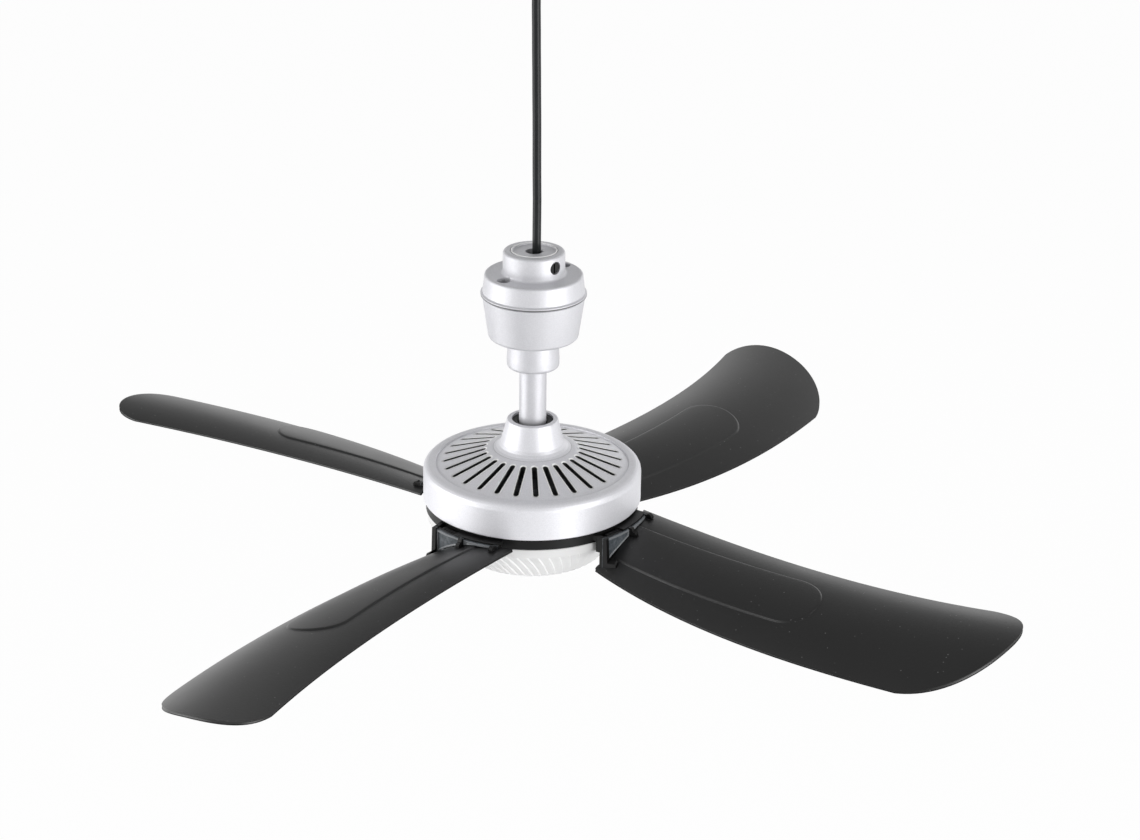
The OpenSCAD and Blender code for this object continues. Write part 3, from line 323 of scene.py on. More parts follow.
# The paint's flakes, the white of the painted highlight on the slots' walls and rims, and the black of the
# painted shade in the slots and over the canopy's seam
FLAKES_PER_METRE = 3800.0
PAINTED_HIGHLIGHT_WHITE = grey(0.95)
PAINTED_SHADE_BLACK = grey(0.02)


def silver_paint(name, base, roughness, metallic, painted_light_places=None):
    """Sprayed silver paint: fine flakes, a faint orange peel and a slightly uneven gloss. Where it is given,
    the last argument returns the shares of the painted shade and of the painted highlight, or None for the
    latter."""
    s = Shader(name, bluish(base), roughness, metallic)
    flakes = s.add("ShaderNodeTexVoronoi", {"Vector": s.place, "Scale": FLAKES_PER_METRE}).outputs["Color"]
    flake = s.add("ShaderNodeSeparateColor", {"Color": flakes}).outputs[0]
    colour = s.ramp(flake, [(0.0, bluish(base * 0.95)), (0.55, bluish(base)), (1.0, bluish(base * 1.04))])
    if painted_light_places:
        dark, pale = painted_light_places(s)
        painted_light_share = dark
        if pale:
            # Painted highlight: white on the slots' walls and rims
            colour = s.blend(pale, colour, PAINTED_HIGHLIGHT_WHITE)
            painted_light_share = s.maths("MAXIMUM", dark, pale)
        # Painted shade: black in the slots and over the canopy's seam
        colour = s.blend(dark, colour, PAINTED_SHADE_BLACK)
        s.feed("Metallic", s.span(painted_light_share, 0.0, 1.0, metallic, 0.0))
    s.feed("Base Color", colour)
    s.feed("Roughness", s.between(s.noise(45), roughness * 0.92, roughness * 1.08))
    s.bump(s.noise(900, detail=2), depth=0.03 * MM, strength=0.25)
    s.bump(flake, depth=0.01 * MM, strength=0.1)
    return s.material


# Dust on the leaves: its cells, a speck's radius as a share of its cell, where it is full and where it
# ends, the rarity from which a cell has one, the share of its colour, and the colour
DUST_CELLS_PER_METRE = 560.0
DUST_SIZE = (0.08, 0.17)
DUST_RARITY = (0.8, 0.95)
DUST_SHARE = 0.35
DUST_GREY = grey(0.3)


def moulded_plastic(name, base, roughness, tint=0.0, grain=0.5, specks=False, specular=0.5):
    """Moulded plastic: a fine spark-eroded grain, faint flow clouds and, on the leaves, pale dust."""
    s = Shader(name, grey(base, tint), roughness, specular=specular)
    flow = s.noise(22, detail=4)
    colour = s.tones(flow, grey(base * 0.9, tint), grey(base * 1.12, tint))
    if specks:
        dust = s.add("ShaderNodeTexVoronoi", {"Vector": s.place, "Scale": DUST_CELLS_PER_METRE}).outputs
        spot = s.span(dust["Distance"], *DUST_SIZE, 1.0, 0.0)
        chance = s.add("ShaderNodeSeparateColor", {"Color": dust["Color"]}).outputs[0]
        rare = s.span(chance, *DUST_RARITY, 0.0, DUST_SHARE)
        colour = s.blend(s.maths("MULTIPLY", spot, rare), colour, DUST_GREY)
    s.feed("Base Color", colour)
    s.feed("Roughness", s.between(flow, roughness * 0.93, roughness * 1.08))
    s.bump(s.noise(1500, detail=2), depth=0.05 * MM, strength=grain)
    return s.material


# The brackets' black, how far off the wall's radius the slate grey of their panels, a painted sheen, is full
# and ends, and the roughness of both
BRACKET_BLACK = grey(0.004)
BRACKET_ROUGHNESS = 0.42
SLATE_SOLID = 0.08
SLATE_FADED = 0.12
SLATE_ROUGHNESS = 0.3


def bracket_plastic(name):
    """Black moulded brackets, whose front panels are glossier and painted a mottled slate grey as painted
    sheen.
    """
    s = Shader(name, BRACKET_BLACK, BRACKET_ROUGHNESS, specular=0.22)
    x, y, _ = s.axes()
    panel = s.near(s.length(x, y), WALL_OUT * MM, SLATE_SOLID * MM, SLATE_FADED * MM)
    # Painted sheen: a lighter mottled slate grey on the glossy front panels
    slate = s.ramp(s.noise(700, detail=4), [(0.35, grey(0.05, 0.14)), (0.7, grey(0.13, 0.1))])
    s.feed("Base Color", s.blend(panel, BRACKET_BLACK, slate))
    s.feed("Roughness", s.span(panel, 0.0, 1.0, BRACKET_ROUGHNESS, SLATE_ROUGHNESS))
    s.bump(s.noise(900), depth=0.08 * MM, strength=0.3)
    return s.material


def plastic_with_painted_streaks(name):
    """Black plastic with faint pale streaks round the axis: painted reflections of the brackets nearby."""
    s = Shader(name, grey(0.01), 0.3, specular=0.45)
    streaks = s.noise(150, detail=4, stretch=(0.6, 0.6, 4))
    s.feed("Base Color", s.ramp(streaks, [(0.45, grey(0.008, 0.08)), (0.72, grey(0.075, 0.1))]))
    s.bump(s.noise(1300, detail=2), depth=0.04 * MM, strength=0.3)
    return s.material


def turned_steel(name, base, roughness):
    """Plated or turned steel: fine lines round the axis and a little tarnish."""
    s = Shader(name, grey(base), roughness, metallic=0.9)
    lines = s.noise(260, stretch=(0.2, 0.2, 9))
    s.feed("Base Color", s.tones(s.noise(120), grey(base * 0.82), grey(base * 1.05)))
    s.feed("Roughness", s.between(lines, roughness * 0.75, roughness * 1.3))
    s.bump(lines, depth=0.03 * MM, strength=0.3)
    return s.material


def rubber(name, base, roughness, specular=0.45, tint=0.0):
    """Matt or glossy rubber with a faintly uneven tone."""
    s = Shader(name, grey(base), roughness, specular=specular)
    s.feed("Base Color", s.tones(s.noise(90), grey(base * 0.8, tint), grey(base * 1.25, tint)))
    s.bump(s.noise(1300, detail=2), depth=0.04 * MM, strength=0.3)
    return s.material


def copper_wire(name):
    """Enamelled wire: the turns show as fine ridges."""
    s = Shader(name, (0.55, 0.2, 0.06), 0.3, metallic=0.8)
    turns = s.add("ShaderNodeTexWave", {"Vector": s.place, "Scale": 420.0, "Distortion": 0.6},
                  bands_direction="Z").outputs["Fac"]
    s.feed("Base Color", s.ramp(turns, [(0.2, (0.3, 0.09, 0.03)), (0.8, (0.68, 0.27, 0.09))]))
    s.bump(turns, depth=0.1 * MM, strength=0.6)
    return s.material


def circuit_green(name):
    """Green board with raised tracks between its darker fields."""
    s = Shader(name, (0.02, 0.12, 0.05), 0.35)
    tracks = s.add("ShaderNodeTexVoronoi", {"Vector": s.place, "Scale": 240.0},
                   feature="DISTANCE_TO_EDGE").outputs["Distance"]
    s.feed("Base Color", s.ramp(tracks, [(0.03, (0.05, 0.2, 0.07)), (0.09, (0.015, 0.09, 0.04))]))
    s.bump(tracks, depth=0.05 * MM, strength=0.4)
    return s.material


# The materials by name, each with its recipe and what it takes. The frame's slots go by these names.
MATERIALS = {
    "housing_silver": (silver_paint, dict(base=0.72, roughness=0.47, metallic=0.4,
                                          painted_light_places=in_the_slots)),
    # The canopy's and the rod's silver are darker copies of the housing's, as painted shade
    "canopy_shaded_silver": (silver_paint, dict(base=0.6, roughness=0.48, metallic=0.38, painted_light_places=seam_painted_shade)),
    "rod_silver": (silver_paint, dict(base=0.6, roughness=0.46, metallic=0.4)),
    "blade_black": (moulded_plastic, dict(base=0.011, roughness=0.34, specks=True, specular=0.43)),
    "bracket_black": (bracket_plastic, {}),
    # White bead: a painted highlight round the neck's lip
    "lip_highlight_white": (moulded_plastic, dict(base=0.85, roughness=0.4, grain=0.1)),
    # Pale grey frames: a painted highlight along the frames' edges
    "bracket_edge_highlight": (moulded_plastic, dict(base=0.2, roughness=0.3, tint=0.05, grain=0.15, specular=0.8)),
    "cover_white": (moulded_plastic, dict(base=0.67, roughness=0.4, grain=0.25)),
    "cord_black": (rubber, dict(base=0.011, roughness=0.28, specular=0.2, tint=0.08)),
    "seal_black": (rubber, dict(base=0.01, roughness=0.6)),
    "grip_black": (moulded_plastic, dict(base=0.015, roughness=0.38)),
    "hook_steel": (turned_steel, dict(base=0.6, roughness=0.25)),
    "fastener_steel": (turned_steel, dict(base=0.03, roughness=0.45)),
    "bearing_steel": (turned_steel, dict(base=0.62, roughness=0.18)),
    "core_steel": (turned_steel, dict(base=0.35, roughness=0.45)),
    "rotor_black": (plastic_with_painted_streaks, {}),
    "magnet_grey": (rubber, dict(base=0.06, roughness=0.5)),
    "winding_copper": (copper_wire, {}),
    "nylon_white": (moulded_plastic, dict(base=0.7, roughness=0.45, grain=0.3)),
    "board_green": (circuit_green, {}),
}

# Nodes whose silver is a darker copy of the housing's, as painted shade
CANOPY = ("canopy_top", "canopy_cup", "neck_insert")


def dress_nodes(materials):
    """Gives every CAD node the material of its slot, and the canopy's nodes a darker copy of the silver, as
    painted shade.
    """
    for part in frame["record"]["subparts"]:
        node = nodes[part["node"]]
        node.data.materials.clear()
        name = "canopy_shaded_silver" if part["node"] in CANOPY else part["material_slot"]
        node.data.materials.append(materials[name])


# ---------------------------------------------------------------- mesh helpers

def new_piece(name, grid, material, body, replaced=(), smooth_angle=35):
    """Makes a mesh piece that rides on a body, in the place of the CAD nodes that it replaces. Edges
    sharper than the angle, in degrees, stay sharp."""
    mesh = bpy.data.meshes.new(name)
    mesh.from_pydata([tuple(p) for p in grid.points], [], grid.faces)
    mesh.validate()
    mesh.materials.append(material)
    mesh.polygons.foreach_set("use_smooth", [True] * len(mesh.polygons))
    piece = new_object(name, mesh)
    mesh.set_sharp_from_angle(angle=radians(smooth_angle))
    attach(piece, body)
    if replaced:
        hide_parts(*replaced)


class Grid:
    """Points and faces collected from shells."""

    def __init__(self):
        self.points = []
        self.faces = []

    def rows(self, rows, closed_rows=False, closed_columns=False, flip=False):
        """Adds a net of rows of points, with quads between neighbours. Returns its first point's number."""
        start = len(self.points)
        count, width = len(rows), len(rows[0])
        for row in rows:
            self.points.extend(row)
        for j in range(count if closed_rows else count - 1):
            for k in range(width if closed_columns else width - 1):
                a = start + j * width + k
                b = start + j * width + (k + 1) % width
                c = start + ((j + 1) % count) * width + (k + 1) % width
                d = start + ((j + 1) % count) * width + k
                self.faces.append((a, d, c, b) if flip else (a, b, c, d))
        return start

    def bridge(self, loops):
        """Joins closed loops of point numbers, each to the next."""
        for upper, lower in zip(loops, loops[1:]):
            for i in range(len(upper)):
                n = (i + 1) % len(upper)
                self.faces.append((upper[n], upper[i], lower[i], lower[n]))

    def loop(self, points):
        """Adds a loop of points and returns their numbers."""
        start = len(self.points)
        self.points.extend(points)
        return list(range(start, len(self.points)))


def border_of(count, width):
    """Row and column of each point on the border of a net, in order."""
    return ([(0, k) for k in range(width)] + [(j, width - 1) for j in range(1, count)]
            + [(count - 1, k) for k in range(width - 2, -1, -1)]
            + [(j, 0) for j in range(count - 2, 0, -1)])


# ---------------------------------------------------------------- cord

# Height of the cord's upper end and its diameter, in metres, its route down, in millimetres from that
# end, and the fineness of its round
CORD_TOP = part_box("cord")[1][2]
CORD_D = 3.3 * MM
CORD_ROUTE = [(0, 0, 0), (0, 0, -6), (0, 0, -12), (0, 0, -20), (0.1, 0.1, -28), (0.2, 0.1, -36),
              (0.3, 0.2, -44), (0.4, 0.2, -52), (0.5, 0.3, -60), (0.6, 0.3, -68), (0.6, 0.4, -76),
              (0.7, 0.4, -84), (0.8, 0.5, -92), (0.8, 0.5, -100), (0.8, 0.5, -106), (0.8, 0.5, -112),
              (0.8, 0.5, -118), (0.8, 0.5, -124)]
CORD_BEVEL_RESOLUTION = 7


def make_cord(materials):
    """The taut cord, from its crimped stop in the neck up into the grip."""
    points = [Vector((x, y, z)) * MM + Vector((0, 0, CORD_TOP)) for x, y, z in reversed(CORD_ROUTE)]
    curve = bpy.data.curves.new("hanging_cord", "CURVE")
    curve.dimensions = "3D"
    curve.bevel_depth = CORD_D / 2
    curve.bevel_resolution = CORD_BEVEL_RESOLUTION
    curve.use_fill_caps = True
    spline = curve.splines.new("POLY")
    spline.points.add(len(points) - 1)
    for point, place in zip(spline.points, points):
        point.co = (*place, 1)
    spline.use_smooth = True
    curve.materials.append(materials["cord_black"])
    piece = new_object("hanging_cord", curve)
    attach(piece, "hanger")
    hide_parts("cord")


# ---------------------------------------------------------------- blades

# The leaf's section at even steps along the blade's radius line, from the first radius to the second:
# its chord, how far it trails, its pitch in degrees, how far it lies below the housing, and its camber as
# a share of the half chord
SECTION_ROOT = 40.2
SECTION_TIP = 211.2
CHORDS = (37.7, 47.2, 51.4, 56.9)
TRAILS = (0, 10.6, 12.2, 5.4)
PITCHES = (18.6, 14.3, 14.3)
DROPS = (9.4, 12.5, 12.2)
CAMBERS = (0.212, 0.214)

# The leaf's ends, its thickness in the middle and at its edges, and how late it thins
LEAF_ROOT = 44.2
LEAF_TIP = 201.5
LEAF_T = 1.5
LEAF_EDGE_T = 0.9
THIN_POWER = 4

# The tip's outline: the depth and the power of its round corners, its skew and its crown
TIP_CORNER = 29.7
TIP_POWER = 2.16
TIP_SKEW = 0.034
TIP_CROWN = 0.007

# The root's outline: the round of its corners, how far they reach inwards, and how late they do
ROOT_CORNER = 2.4
ROOT_REACH = 2.2
REACH_POWER = 4

# Between these radii the leaf's rows run straight across
ROOT_BLEND = LEAF_ROOT + 15.5
TIP_BLEND = LEAF_TIP - 53.5
BLADE_COUNT = 4


def through_four(p, s):
    """The cubic through four values at even steps of s from 0 to 1."""
    return (p[0] * (1 - 3 * s) * (2 - 3 * s) * (1 - s) / 2 + p[1] * 9 * s * (2 - 3 * s) * (1 - s) / 2
            + p[2] * 9 * s * (3 * s - 1) * (1 - s) / 2 + p[3] * s * (3 * s - 1) * (3 * s - 2) / 2)


def through_three(p, s):
    """The parabola through three values at even steps of s from 0 to 1."""
    return p[0] * (1 - s) * (1 - 2 * s) + p[1] * 4 * s * (1 - s) + p[2] * s * (2 * s - 1)


def along(r):
    """Share of the way from the first section to the last."""
    return (r - SECTION_ROOT) / (SECTION_TIP - SECTION_ROOT)


def half_chord(r):
    """Half the leaf's chord at radius r."""
    return through_four(CHORDS, along(r)) / 2


def leaf_middle(r, w):
    """Point (y, z) of the leaf's middle surface at radius r and share w of the half chord."""
    s = along(r)
    half, turn = half_chord(r), radians(through_three(PITCHES, s))
    camber = (CAMBERS[0] + (CAMBERS[1] - CAMBERS[0]) * s) * half * (1 - w * w)
    y = -through_four(TRAILS, s) + half * w * cos(turn) - camber * sin(turn)
    z = -through_three(DROPS, s) + half * w * sin(turn) + camber * cos(turn)
    return y, z


def leaf_thickness(w):
    """The leaf's thickness at share w of the half chord."""
    return LEAF_T - (LEAF_T - LEAF_EDGE_T) * min(1, abs(w)) ** THIN_POWER


def tip_radius(w):
    """Where the leaf ends at share w of the half chord."""
    corner = TIP_CORNER * (1 - max(0, 1 - abs(w) ** TIP_POWER) ** (1 / TIP_POWER))
    return LEAF_TIP * (1 + TIP_SKEW * w + TIP_CROWN * w * w) - corner


def root_radius(w):
    """Where the leaf begins at share w of the half chord: on a circle about the axis, with round corners."""
    y = leaf_middle(LEAF_ROOT, w)[0]
    into = max(0, ROOT_CORNER - (1 - min(1, abs(w))) * half_chord(LEAF_ROOT))
    root = LEAF_ROOT - ROOT_REACH * w ** REACH_POWER
    return sqrt(root ** 2 - y * y) + ROOT_CORNER - sqrt(ROOT_CORNER ** 2 - into ** 2)


def row_radius(q, w):
    """Radius of row q at share w: straight rows in the middle that bend towards both ends."""
    if q < ROOT_BLEND:
        return root_radius(w) + (ROOT_BLEND - root_radius(w)) * (q - LEAF_ROOT) / (ROOT_BLEND - LEAF_ROOT)
    if q > TIP_BLEND:
        return TIP_BLEND + (tip_radius(w) - TIP_BLEND) * (q - TIP_BLEND) / (LEAF_TIP - TIP_BLEND)
    return q


def in_fan(point, turn):
    """A point of the blade's own frame, in millimetres, in the fan's frame, in metres."""
    x, y = turned(point[0], point[1], turn)
    return Vector((x * MM, y * MM, point[2] * MM + HOUSING_LOW))


def leaf_point(r, w, up):
    """A point in the blade's own frame, by some height over the leaf's middle surface."""
    y, z = leaf_middle(r, w)
    return (r, y, z + up)


# The leaf's net, whose rows draw together beyond a share of its length, and the steps round its edge
LEAF_ROWS = 64
LEAF_COLUMNS = 40
EVEN_ROWS = 0.7
EDGE_STEPS = 4


def leaf_shell(grid, turn):
    """The leaf as two curved faces joined by a rounded edge all the way round."""
    edge = LEAF_EDGE_T / 2
    rows = []
    for j in range(LEAF_ROWS + 1):
        s = j / LEAF_ROWS
        if s > EVEN_ROWS:
            s = EVEN_ROWS + (1 - EVEN_ROWS) * sin((s - EVEN_ROWS) / (1 - EVEN_ROWS) * pi / 2)
        rows.append(LEAF_ROOT + edge + (LEAF_TIP - LEAF_ROOT - 2 * edge) * s)
    columns = [sin(pi / 2 * (2 * k / LEAF_COLUMNS - 1)) for k in range(LEAF_COLUMNS + 1)]
    net = []
    for q in rows:
        share = 1 - edge / half_chord(q)
        net.append([(row_radius(q, w * share), w * share) for w in columns])
    above = [[in_fan(leaf_point(r, w, leaf_thickness(w) / 2), turn) for r, w in row] for row in net]
    below = [[in_fan(leaf_point(r, w, -leaf_thickness(w) / 2), turn) for r, w in row] for row in net]
    top = grid.rows(above)
    low = grid.rows(below, flip=True)
    border = border_of(len(net), len(columns))
    total = len(border)
    middle = [(above[j][k] + below[j][k]) / 2 for j, k in border]
    loops = [[top + j * len(columns) + k for j, k in border]]
    for step in range(1, EDGE_STEPS):
        angle = pi / 2 - pi * step / EDGE_STEPS
        strip = []
        for i, (j, k) in enumerate(border):
            side = middle[(i + 1) % total] - middle[i - 1]
            rise = above[j][k] - below[j][k]
            out = side.cross(rise).normalized()
            strip.append(middle[i] + out * edge * MM * cos(angle) + rise / 2 * sin(angle))
        loops.append(grid.loop(strip))
    loops.append([low + j * len(columns) + k for j, k in border])
    grid.bridge(loops)


# Raised panel of a leaf: the radii where it starts and where its half round end begins, the end's depth,
# and its two sides as shares of the half chord, at the root and at the end
PANEL_START = LEAF_ROOT + 0.9
PANEL_R = 118.5
PANEL_END = 12
PANEL_LOW = (-0.58, -0.48)
PANEL_HIGH = (0.34, 0.48)

# The panel's rolled step: how far each line lies outside the outline, and its height over the leaf
PANEL_ROLL = ((0.75, -0.6), (0.65, 0.03), (0.45, 0.12), (0.2, 0.36), (0.0, 0.47), (-0.3, 0.5))

# The panel's net. Its last row stops short of the end by a share of a step, so that it keeps some width.
PANEL_ROWS = 30
PANEL_COLUMNS = 16
PANEL_END_STEPS = 14
PANEL_END_SHORT = 0.3


def panel_ring(widen):
    """Rows (r, low w, high w) of the panel's outline, widened by some millimetres."""
    rows = []
    for j in range(PANEL_ROWS):
        rows.append((PANEL_START + (PANEL_R - PANEL_START) * j / PANEL_ROWS, 1.0, 0.0))
    for j in range(PANEL_END_STEPS):
        angle = pi / 2 * j / (PANEL_END_STEPS - PANEL_END_SHORT)
        rows.append((PANEL_R, cos(angle), sin(angle)))
    out = []
    for q, wide, far in rows:
        share = (q - LEAF_ROOT) / (PANEL_R - LEAF_ROOT)
        low = PANEL_LOW[0] + (PANEL_LOW[1] - PANEL_LOW[0]) * share
        high = PANEL_HIGH[0] + (PANEL_HIGH[1] - PANEL_HIGH[0]) * share
        half = (high - low) / 2 + widen / half_chord(q)
        middle = (high + low) / 2
        out.append((q + (PANEL_END + widen) * far, middle - half * wide, middle + half * wide))
    return out


def panel_net(widen, up, turn):
    """The panel's points at some height over the leaf."""
    net = []
    for r, low, high in panel_ring(widen):
        row = []
        for k in range(PANEL_COLUMNS + 1):
            w = low + (high - low) * k / PANEL_COLUMNS
            row.append(in_fan(leaf_point(r, w, leaf_thickness(w) / 2 + up), turn))
        net.append(row)
    return net


def panel_shell(grid, turn):
    """The panel's top and its foot inside the leaf, joined by the rolled step."""
    nets = [panel_net(widen, up, turn) for widen, up in PANEL_ROLL]
    width = PANEL_COLUMNS + 1
    border = border_of(len(nets[0]), width)
    top = grid.rows(nets[-1])
    low = grid.rows(nets[0], flip=True)
    loops = [[top + j * width + k for j, k in border]]
    loops += [grid.loop(net[j][k] for j, k in border) for net in nets[-2:0:-1]]
    loops.append([low + j * width + k for j, k in border])
    grid.bridge(loops)


def make_blades(materials):
    """The four leaves, each with its raised panel."""
    for i in range(BLADE_COUNT):
        turn = 2 * pi * i / BLADE_COUNT
        grid = Grid()
        leaf_shell(grid, turn)
        panel_shell(grid, turn)
        new_piece(f"blade_leaf_{i + 1}", grid, materials["blade_black"], "rotor",
                  [f"blade_{i + 1}"])


# ---------------------------------------------------------------- brackets

# A bracket's front wall: its top, its claws' places across the blade, half a claw's width, and how far
# the wall's panels stay over the leaf
WALL_TOP = -1.85
CLAWS = (-16, -2.3, 11.6)
CLAW_HALF = 0.85
OVER_LEAF = 0.7

# The frames round the wall's panels: the profile as (inset from the panel's border, height over the
# wall), the least height of a panel, and the steps along it
FRAME_PROFILE = ((0.0, -0.3), (0.0, 0.25), (0.12, 0.38), (0.55, 0.4), (0.75, 0.28), (0.85, -0.3))
FRAME_LEAST_H = 0.9
FRAME_STEPS = 12
HALVINGS = 24


def leaf_height(x, y):
    """Height of the leaf's upper face at x along the blade and y across it, found by halving."""
    low, high = -1.0, 1.0
    for _ in range(HALVINGS):
        w = (low + high) / 2
        if leaf_middle(x, w)[0] < y:
            low = w
        else:
            high = w
    return leaf_middle(x, w)[1] + leaf_thickness(w) / 2


def frame_loop(from_y, to_y, inset, proud, turn):
    """Points round one wall panel, inset from its border and standing off the wall."""
    first = asin(from_y / WALL_OUT) + inset / WALL_OUT
    last = asin(to_y / WALL_OUT) - inset / WALL_OUT
    angles = [first + (last - first) * i / FRAME_STEPS for i in range(FRAME_STEPS + 1)]
    lower = []
    for angle in angles:
        x, y = WALL_OUT * cos(angle), WALL_OUT * sin(angle)
        foot = leaf_height(x, y) + OVER_LEAF + inset
        lower.append((angle, min(foot, WALL_TOP - FRAME_LEAST_H + inset / 2)))
    upper = [(angle, WALL_TOP - inset) for angle in reversed(angles)]
    r = WALL_OUT + proud
    return [in_fan((r * cos(a), r * sin(a), z), turn) for a, z in lower + upper]


def make_bracket_frames(materials):
    """The raised edges round the two wall panels of each bracket, between its three claws, in a pale grey
    that paints their highlight.
    """
    for i in range(BLADE_COUNT):
        turn = 2 * pi * i / BLADE_COUNT
        grid = Grid()
        for left, right in zip(CLAWS, CLAWS[1:]):
            loops = [grid.loop(frame_loop(left + CLAW_HALF, right - CLAW_HALF, inset, proud, turn))
                     for inset, proud in FRAME_PROFILE]
            grid.bridge(loops + loops[:1])
        new_piece(f"bracket_frames_{i + 1}", grid, materials["bracket_edge_highlight"], "rotor")


# ---------------------------------------------------------------- lower cover

# The smooth rim, by heights over the housing's lower edge, and the round of its lower edge as (inset,
# height over the rim's foot)
COVER_RIM_R = 40.5
COVER_RIM_TOP = -4.4
COVER_RIM_LOW = -8.1
COVER_WALL = 1.6
RIM_CHAMFER = 0.3
RIM_ROUND = ((0.0, 0.35), (0.12, 0.1), (0.4, 0.0), (0.7, 0.0))

# Under the rim the pleated cone, by its radii and its height, the round of the dome below it, the radii of
# the rings in the flat middle, and how far the floor inside stays within the cone's end, and its upper
# edge within the rim's wall
CONE_START = 39.0
CONE_END = 28.0
CONE_H = 12.4
DOME_R = 9.0
FLAT_RADII = (14, 7, 1)
FLOOR_INSET = 7
SHOULDER_INSET = 1.5

# The pleats: their number and height, how far they reach up behind the rim, the crest's place across a
# pleat, how much the slope swells, their turn over the cone's length, and the net's lines across one
PLEATS = 60
PLEAT_H = 0.6
PLEAT_START = 0.6
PLEAT_CREST = 0.85
PLEAT_SWELL = 0.09
PLEAT_TURN = radians(9.5)
PLEAT_SHARES = (0.0, 0.06, 0.25, 0.5, 0.7, 0.8, 0.85, 0.9, 0.95)
CONE_RINGS = 10
DOME_RINGS = 9


def pleat_height(u):
    """Height of a pleat at share u of its width: a long slope up and a short one down, softly joined."""
    if u < PLEAT_CREST:
        v = u / PLEAT_CREST
        return v - PLEAT_SWELL * sin(2 * pi * v)
    v = (1 - u) / (1 - PLEAT_CREST)
    return v * v * (3 - 2 * v)


def cover_rings():
    """Rings (radius, height, pleat height, turn) from behind the rim's foot to the dome's end."""
    slope = atan2(CONE_H, CONE_START - CONE_END)
    rings = [(CONE_START, COVER_RIM_LOW + PLEAT_START, PLEAT_H, 0.0)]
    for i in range(CONE_RINGS):
        s = i / CONE_RINGS
        rings.append((CONE_START + (CONE_END - CONE_START) * s, COVER_RIM_LOW - CONE_H * s, PLEAT_H,
                      PLEAT_TURN * s))
    for i in range(DOME_RINGS + 1):
        at = slope * (1 - i / DOME_RINGS)
        r = CONE_END - DOME_R * (sin(slope) - sin(at))
        rings.append((r, COVER_RIM_LOW - CONE_H - DOME_R * (cos(at) - cos(slope)), PLEAT_H * at / slope,
                      PLEAT_TURN * (CONE_START - r) / (CONE_START - CONE_END)))
    return rings


def make_cover(materials):
    """The lower cover as one closed shell, from its rim round its underside and back up inside."""
    angles = [(i + u) / PLEATS * 2 * pi for i in range(PLEATS) for u in PLEAT_SHARES]
    heights = [pleat_height(u) for u in PLEAT_SHARES] * PLEATS

    def ring(r, h, pleat=0.0, turn=0.0):
        """A ring of points at radius r and height h, with its pleats raised and turned."""
        return [Vector(((r + pleat * up) * cos(a + turn) * MM, (r + pleat * up) * sin(a + turn) * MM,
                        h * MM + HOUSING_LOW)) for a, up in zip(angles, heights)]

    rim, wall = COVER_RIM_R, COVER_WALL
    top, low = COVER_RIM_TOP, COVER_RIM_LOW
    pleated = cover_rings()
    bottom = pleated[-1][1]
    rows = [ring(rim - wall, top), ring(rim - RIM_CHAMFER, top), ring(rim, top - RIM_CHAMFER)]
    rows += [ring(rim - inset, low + up) for inset, up in RIM_ROUND]
    rows += [ring(*values) for values in pleated]
    rows += [ring(r, bottom) for r in FLAT_RADII]
    rows += [ring(FLAT_RADII[-1], bottom + wall), ring(CONE_END - FLOOR_INSET, bottom + wall),
             ring(rim - wall - SHOULDER_INSET, low - wall), ring(rim - wall, low)]
    grid = Grid()
    grid.rows(rows, closed_rows=True, closed_columns=True)
    new_piece("pleated_cover", grid, materials["cover_white"], "rotor", ["lower_cover"],
              smooth_angle=28)


# ---------------------------------------------------------------- canopy

# Bead round the neck's bore, white as a painted highlight of the lip's edge: its radius, half its thickness,
# and the steps round it and round the axis
BEAD_R = 8.5
BEAD_T = 0.25
BEAD_STEPS = 12
ROUND_STEPS = 128


def make_neck_bead(materials):
    """A narrow white bead round the insert in the neck's top: a painted highlight of the neck's lip."""
    rows = []
    for i in range(BEAD_STEPS):
        angle = 2 * pi * i / BEAD_STEPS
        r = (BEAD_R + BEAD_T * cos(angle)) * MM
        z = NECK_TOP + BEAD_T * MM * sin(angle)
        rows.append([Vector((r * cos(a), r * sin(a), z))
                     for a in (2 * pi * k / ROUND_STEPS for k in range(ROUND_STEPS))])
    grid = Grid()
    grid.rows(rows, closed_rows=True, closed_columns=True, flip=True)
    new_piece("neck_lip_highlight", grid, materials["lip_highlight_white"], "hanger")


# ---------------------------------------------------------------- stage and light

# The floor: its depth under the fan and half its width, in metres, its tone and roughness as a surface,
# and how much of it is plain white where it is seen directly
FLOOR_DROP = 0.42
FLOOR_HALF = 12
FLOOR_GREY = grey(0.86)
FLOOR_ROUGHNESS = 0.9
FLOOR_WHITE = 0.97

# The room's brightness by height over the horizon, and its share as light
ROOM = ((0.0, 1.0), (0.12, 0.8), (0.35, 0.5), (1.0, 0.45))
ROOM_LIGHT = 0.75

# The lamps: name, place to the camera's right, towards it and above the housing, size, and power in
# watts. They all face a point of the axis, whose place is given in the same way. Lengths are in metres.
LAMPS = (
    ("left", (-0.95, 0.15, 0.06), (0.9, 0.9), 8),
    ("right", (0.78, 0.64, 0.02), (0.75, 0.9), 9.5),
    ("high_left", (-0.75, 0.45, 0.85), (0.25, 0.2), 1),
    ("high_right", (0.8, 0.35, 0.85), (0.25, 0.2), 0.8),
    ("back", (0.6, -1.45, 0.35), (1.8, 0.4), 2.2),
)
LAMPS_AIM = (0, 0, 0.03)


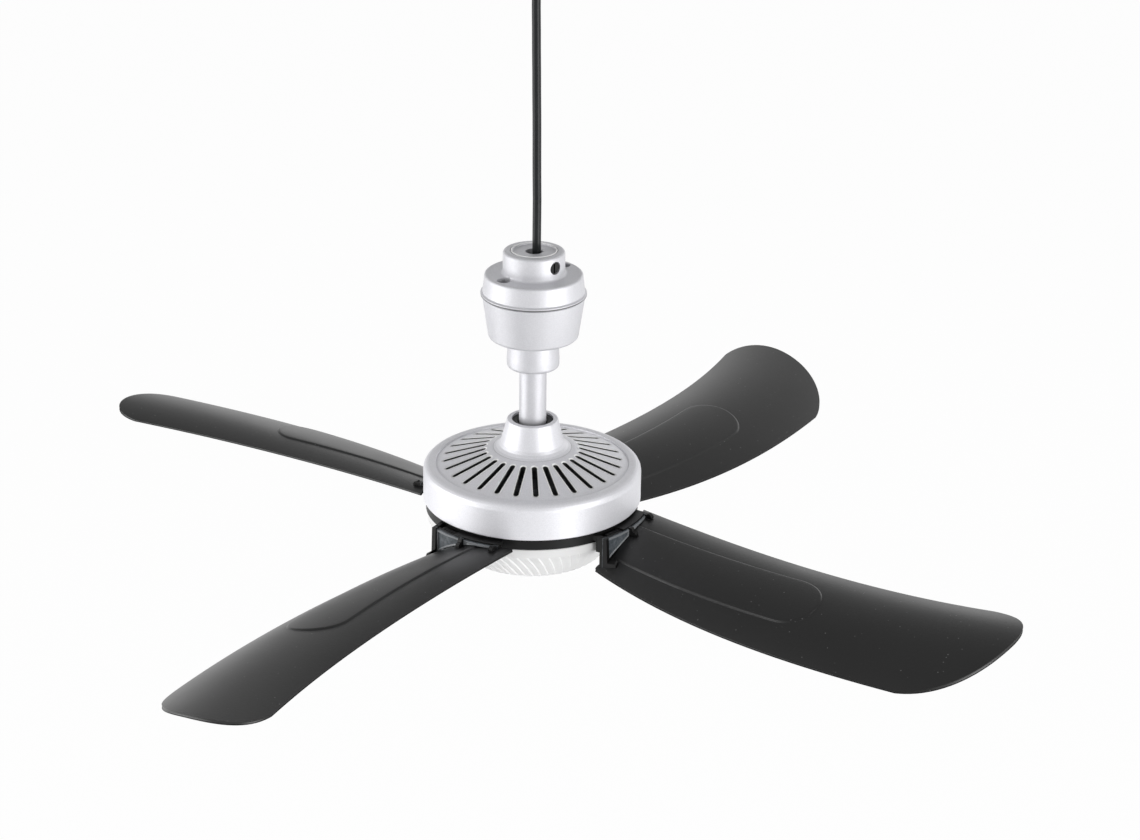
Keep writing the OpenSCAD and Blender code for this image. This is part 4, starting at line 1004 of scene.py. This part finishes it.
def make_floor():
    """A plain floor, pale as a surface and nearly white where it is seen directly."""
    low = cad_box[0][2] - FLOOR_DROP
    mesh = bpy.data.meshes.new("floor")
    corners = ((-1, -1), (1, -1), (1, 1), (-1, 1))
    mesh.from_pydata([(x * FLOOR_HALF, y * FLOOR_HALF, low) for x, y in corners], [], [(0, 1, 2, 3)])
    s = Shader("floor_white", FLOOR_GREY, FLOOR_ROUGHNESS)
    share = s.maths("MULTIPLY", s.seen_directly(), FLOOR_WHITE)
    white = s.add("ShaderNodeEmission").outputs[0]
    mixed = s.add("ShaderNodeMixShader", {"Fac": share, 1: s.shader.outputs[0], 2: white}).outputs[0]
    s.link(mixed, s.tree.nodes["Material Output"].inputs["Surface"])
    mesh.materials.append(s.material)
    floor = new_object("floor", mesh)


def make_world():
    """A white room that turns grey overhead; as light it is weaker than it looks."""
    world = bpy.data.worlds.new("studio")
    bpy.context.scene.world = world
    world.use_nodes = True
    room = NodeTree(world.node_tree)
    place = room.add("ShaderNodeTexCoord").outputs["Generated"]
    height = room.add("ShaderNodeSeparateXYZ", {0: place}).outputs["Z"]
    back = room.tree.nodes["Background"].inputs
    room.link(room.ramp(height, [(position, grey(value)) for position, value in ROOM]), back["Color"])
    room.link(room.span(room.seen_directly(), 0.0, 1.0, ROOM_LIGHT, 1.0), back["Strength"])


def area_light(name, place, aim, size, watts):
    """A rectangular lamp that faces a point and isn't seen by the camera."""
    data = bpy.data.lights.new(name, "AREA")
    data.shape = "RECTANGLE"
    data.size, data.size_y = size
    data.energy = watts
    lamp = new_object(name, data)
    lamp.location = place
    lamp.visible_camera = False
    lamp.rotation_mode = "QUATERNION"
    lamp.rotation_quaternion = (Vector(aim) - Vector(place)).to_track_quat("-Z", "Y")


def seen_from_camera(right, toward, height):
    """A place given as it lies for the camera: to its right, towards it, and above the housing."""
    x, y = turned(right, -toward, CAMERA_AZIMUTH)
    return (x, y, HOUSING_LOW + height)


def make_lights():
    """The lamps round the fan, placed as they lie for the camera."""
    for name, place, size, watts in LAMPS:
        area_light(name, seen_from_camera(*place), seen_from_camera(*LAMPS_AIM), size, watts)


# ---------------------------------------------------------------- the scene

make_camera()
materials = {name: recipe(name, **values) for name, (recipe, values) in MATERIALS.items()}
make_cord(materials)
dress_nodes(materials)
make_blades(materials)
make_bracket_frames(materials)
make_cover(materials)
make_neck_bead(materials)
make_floor()
make_world()
make_lights()
bpy.context.scene.view_settings.view_transform = "Standard"
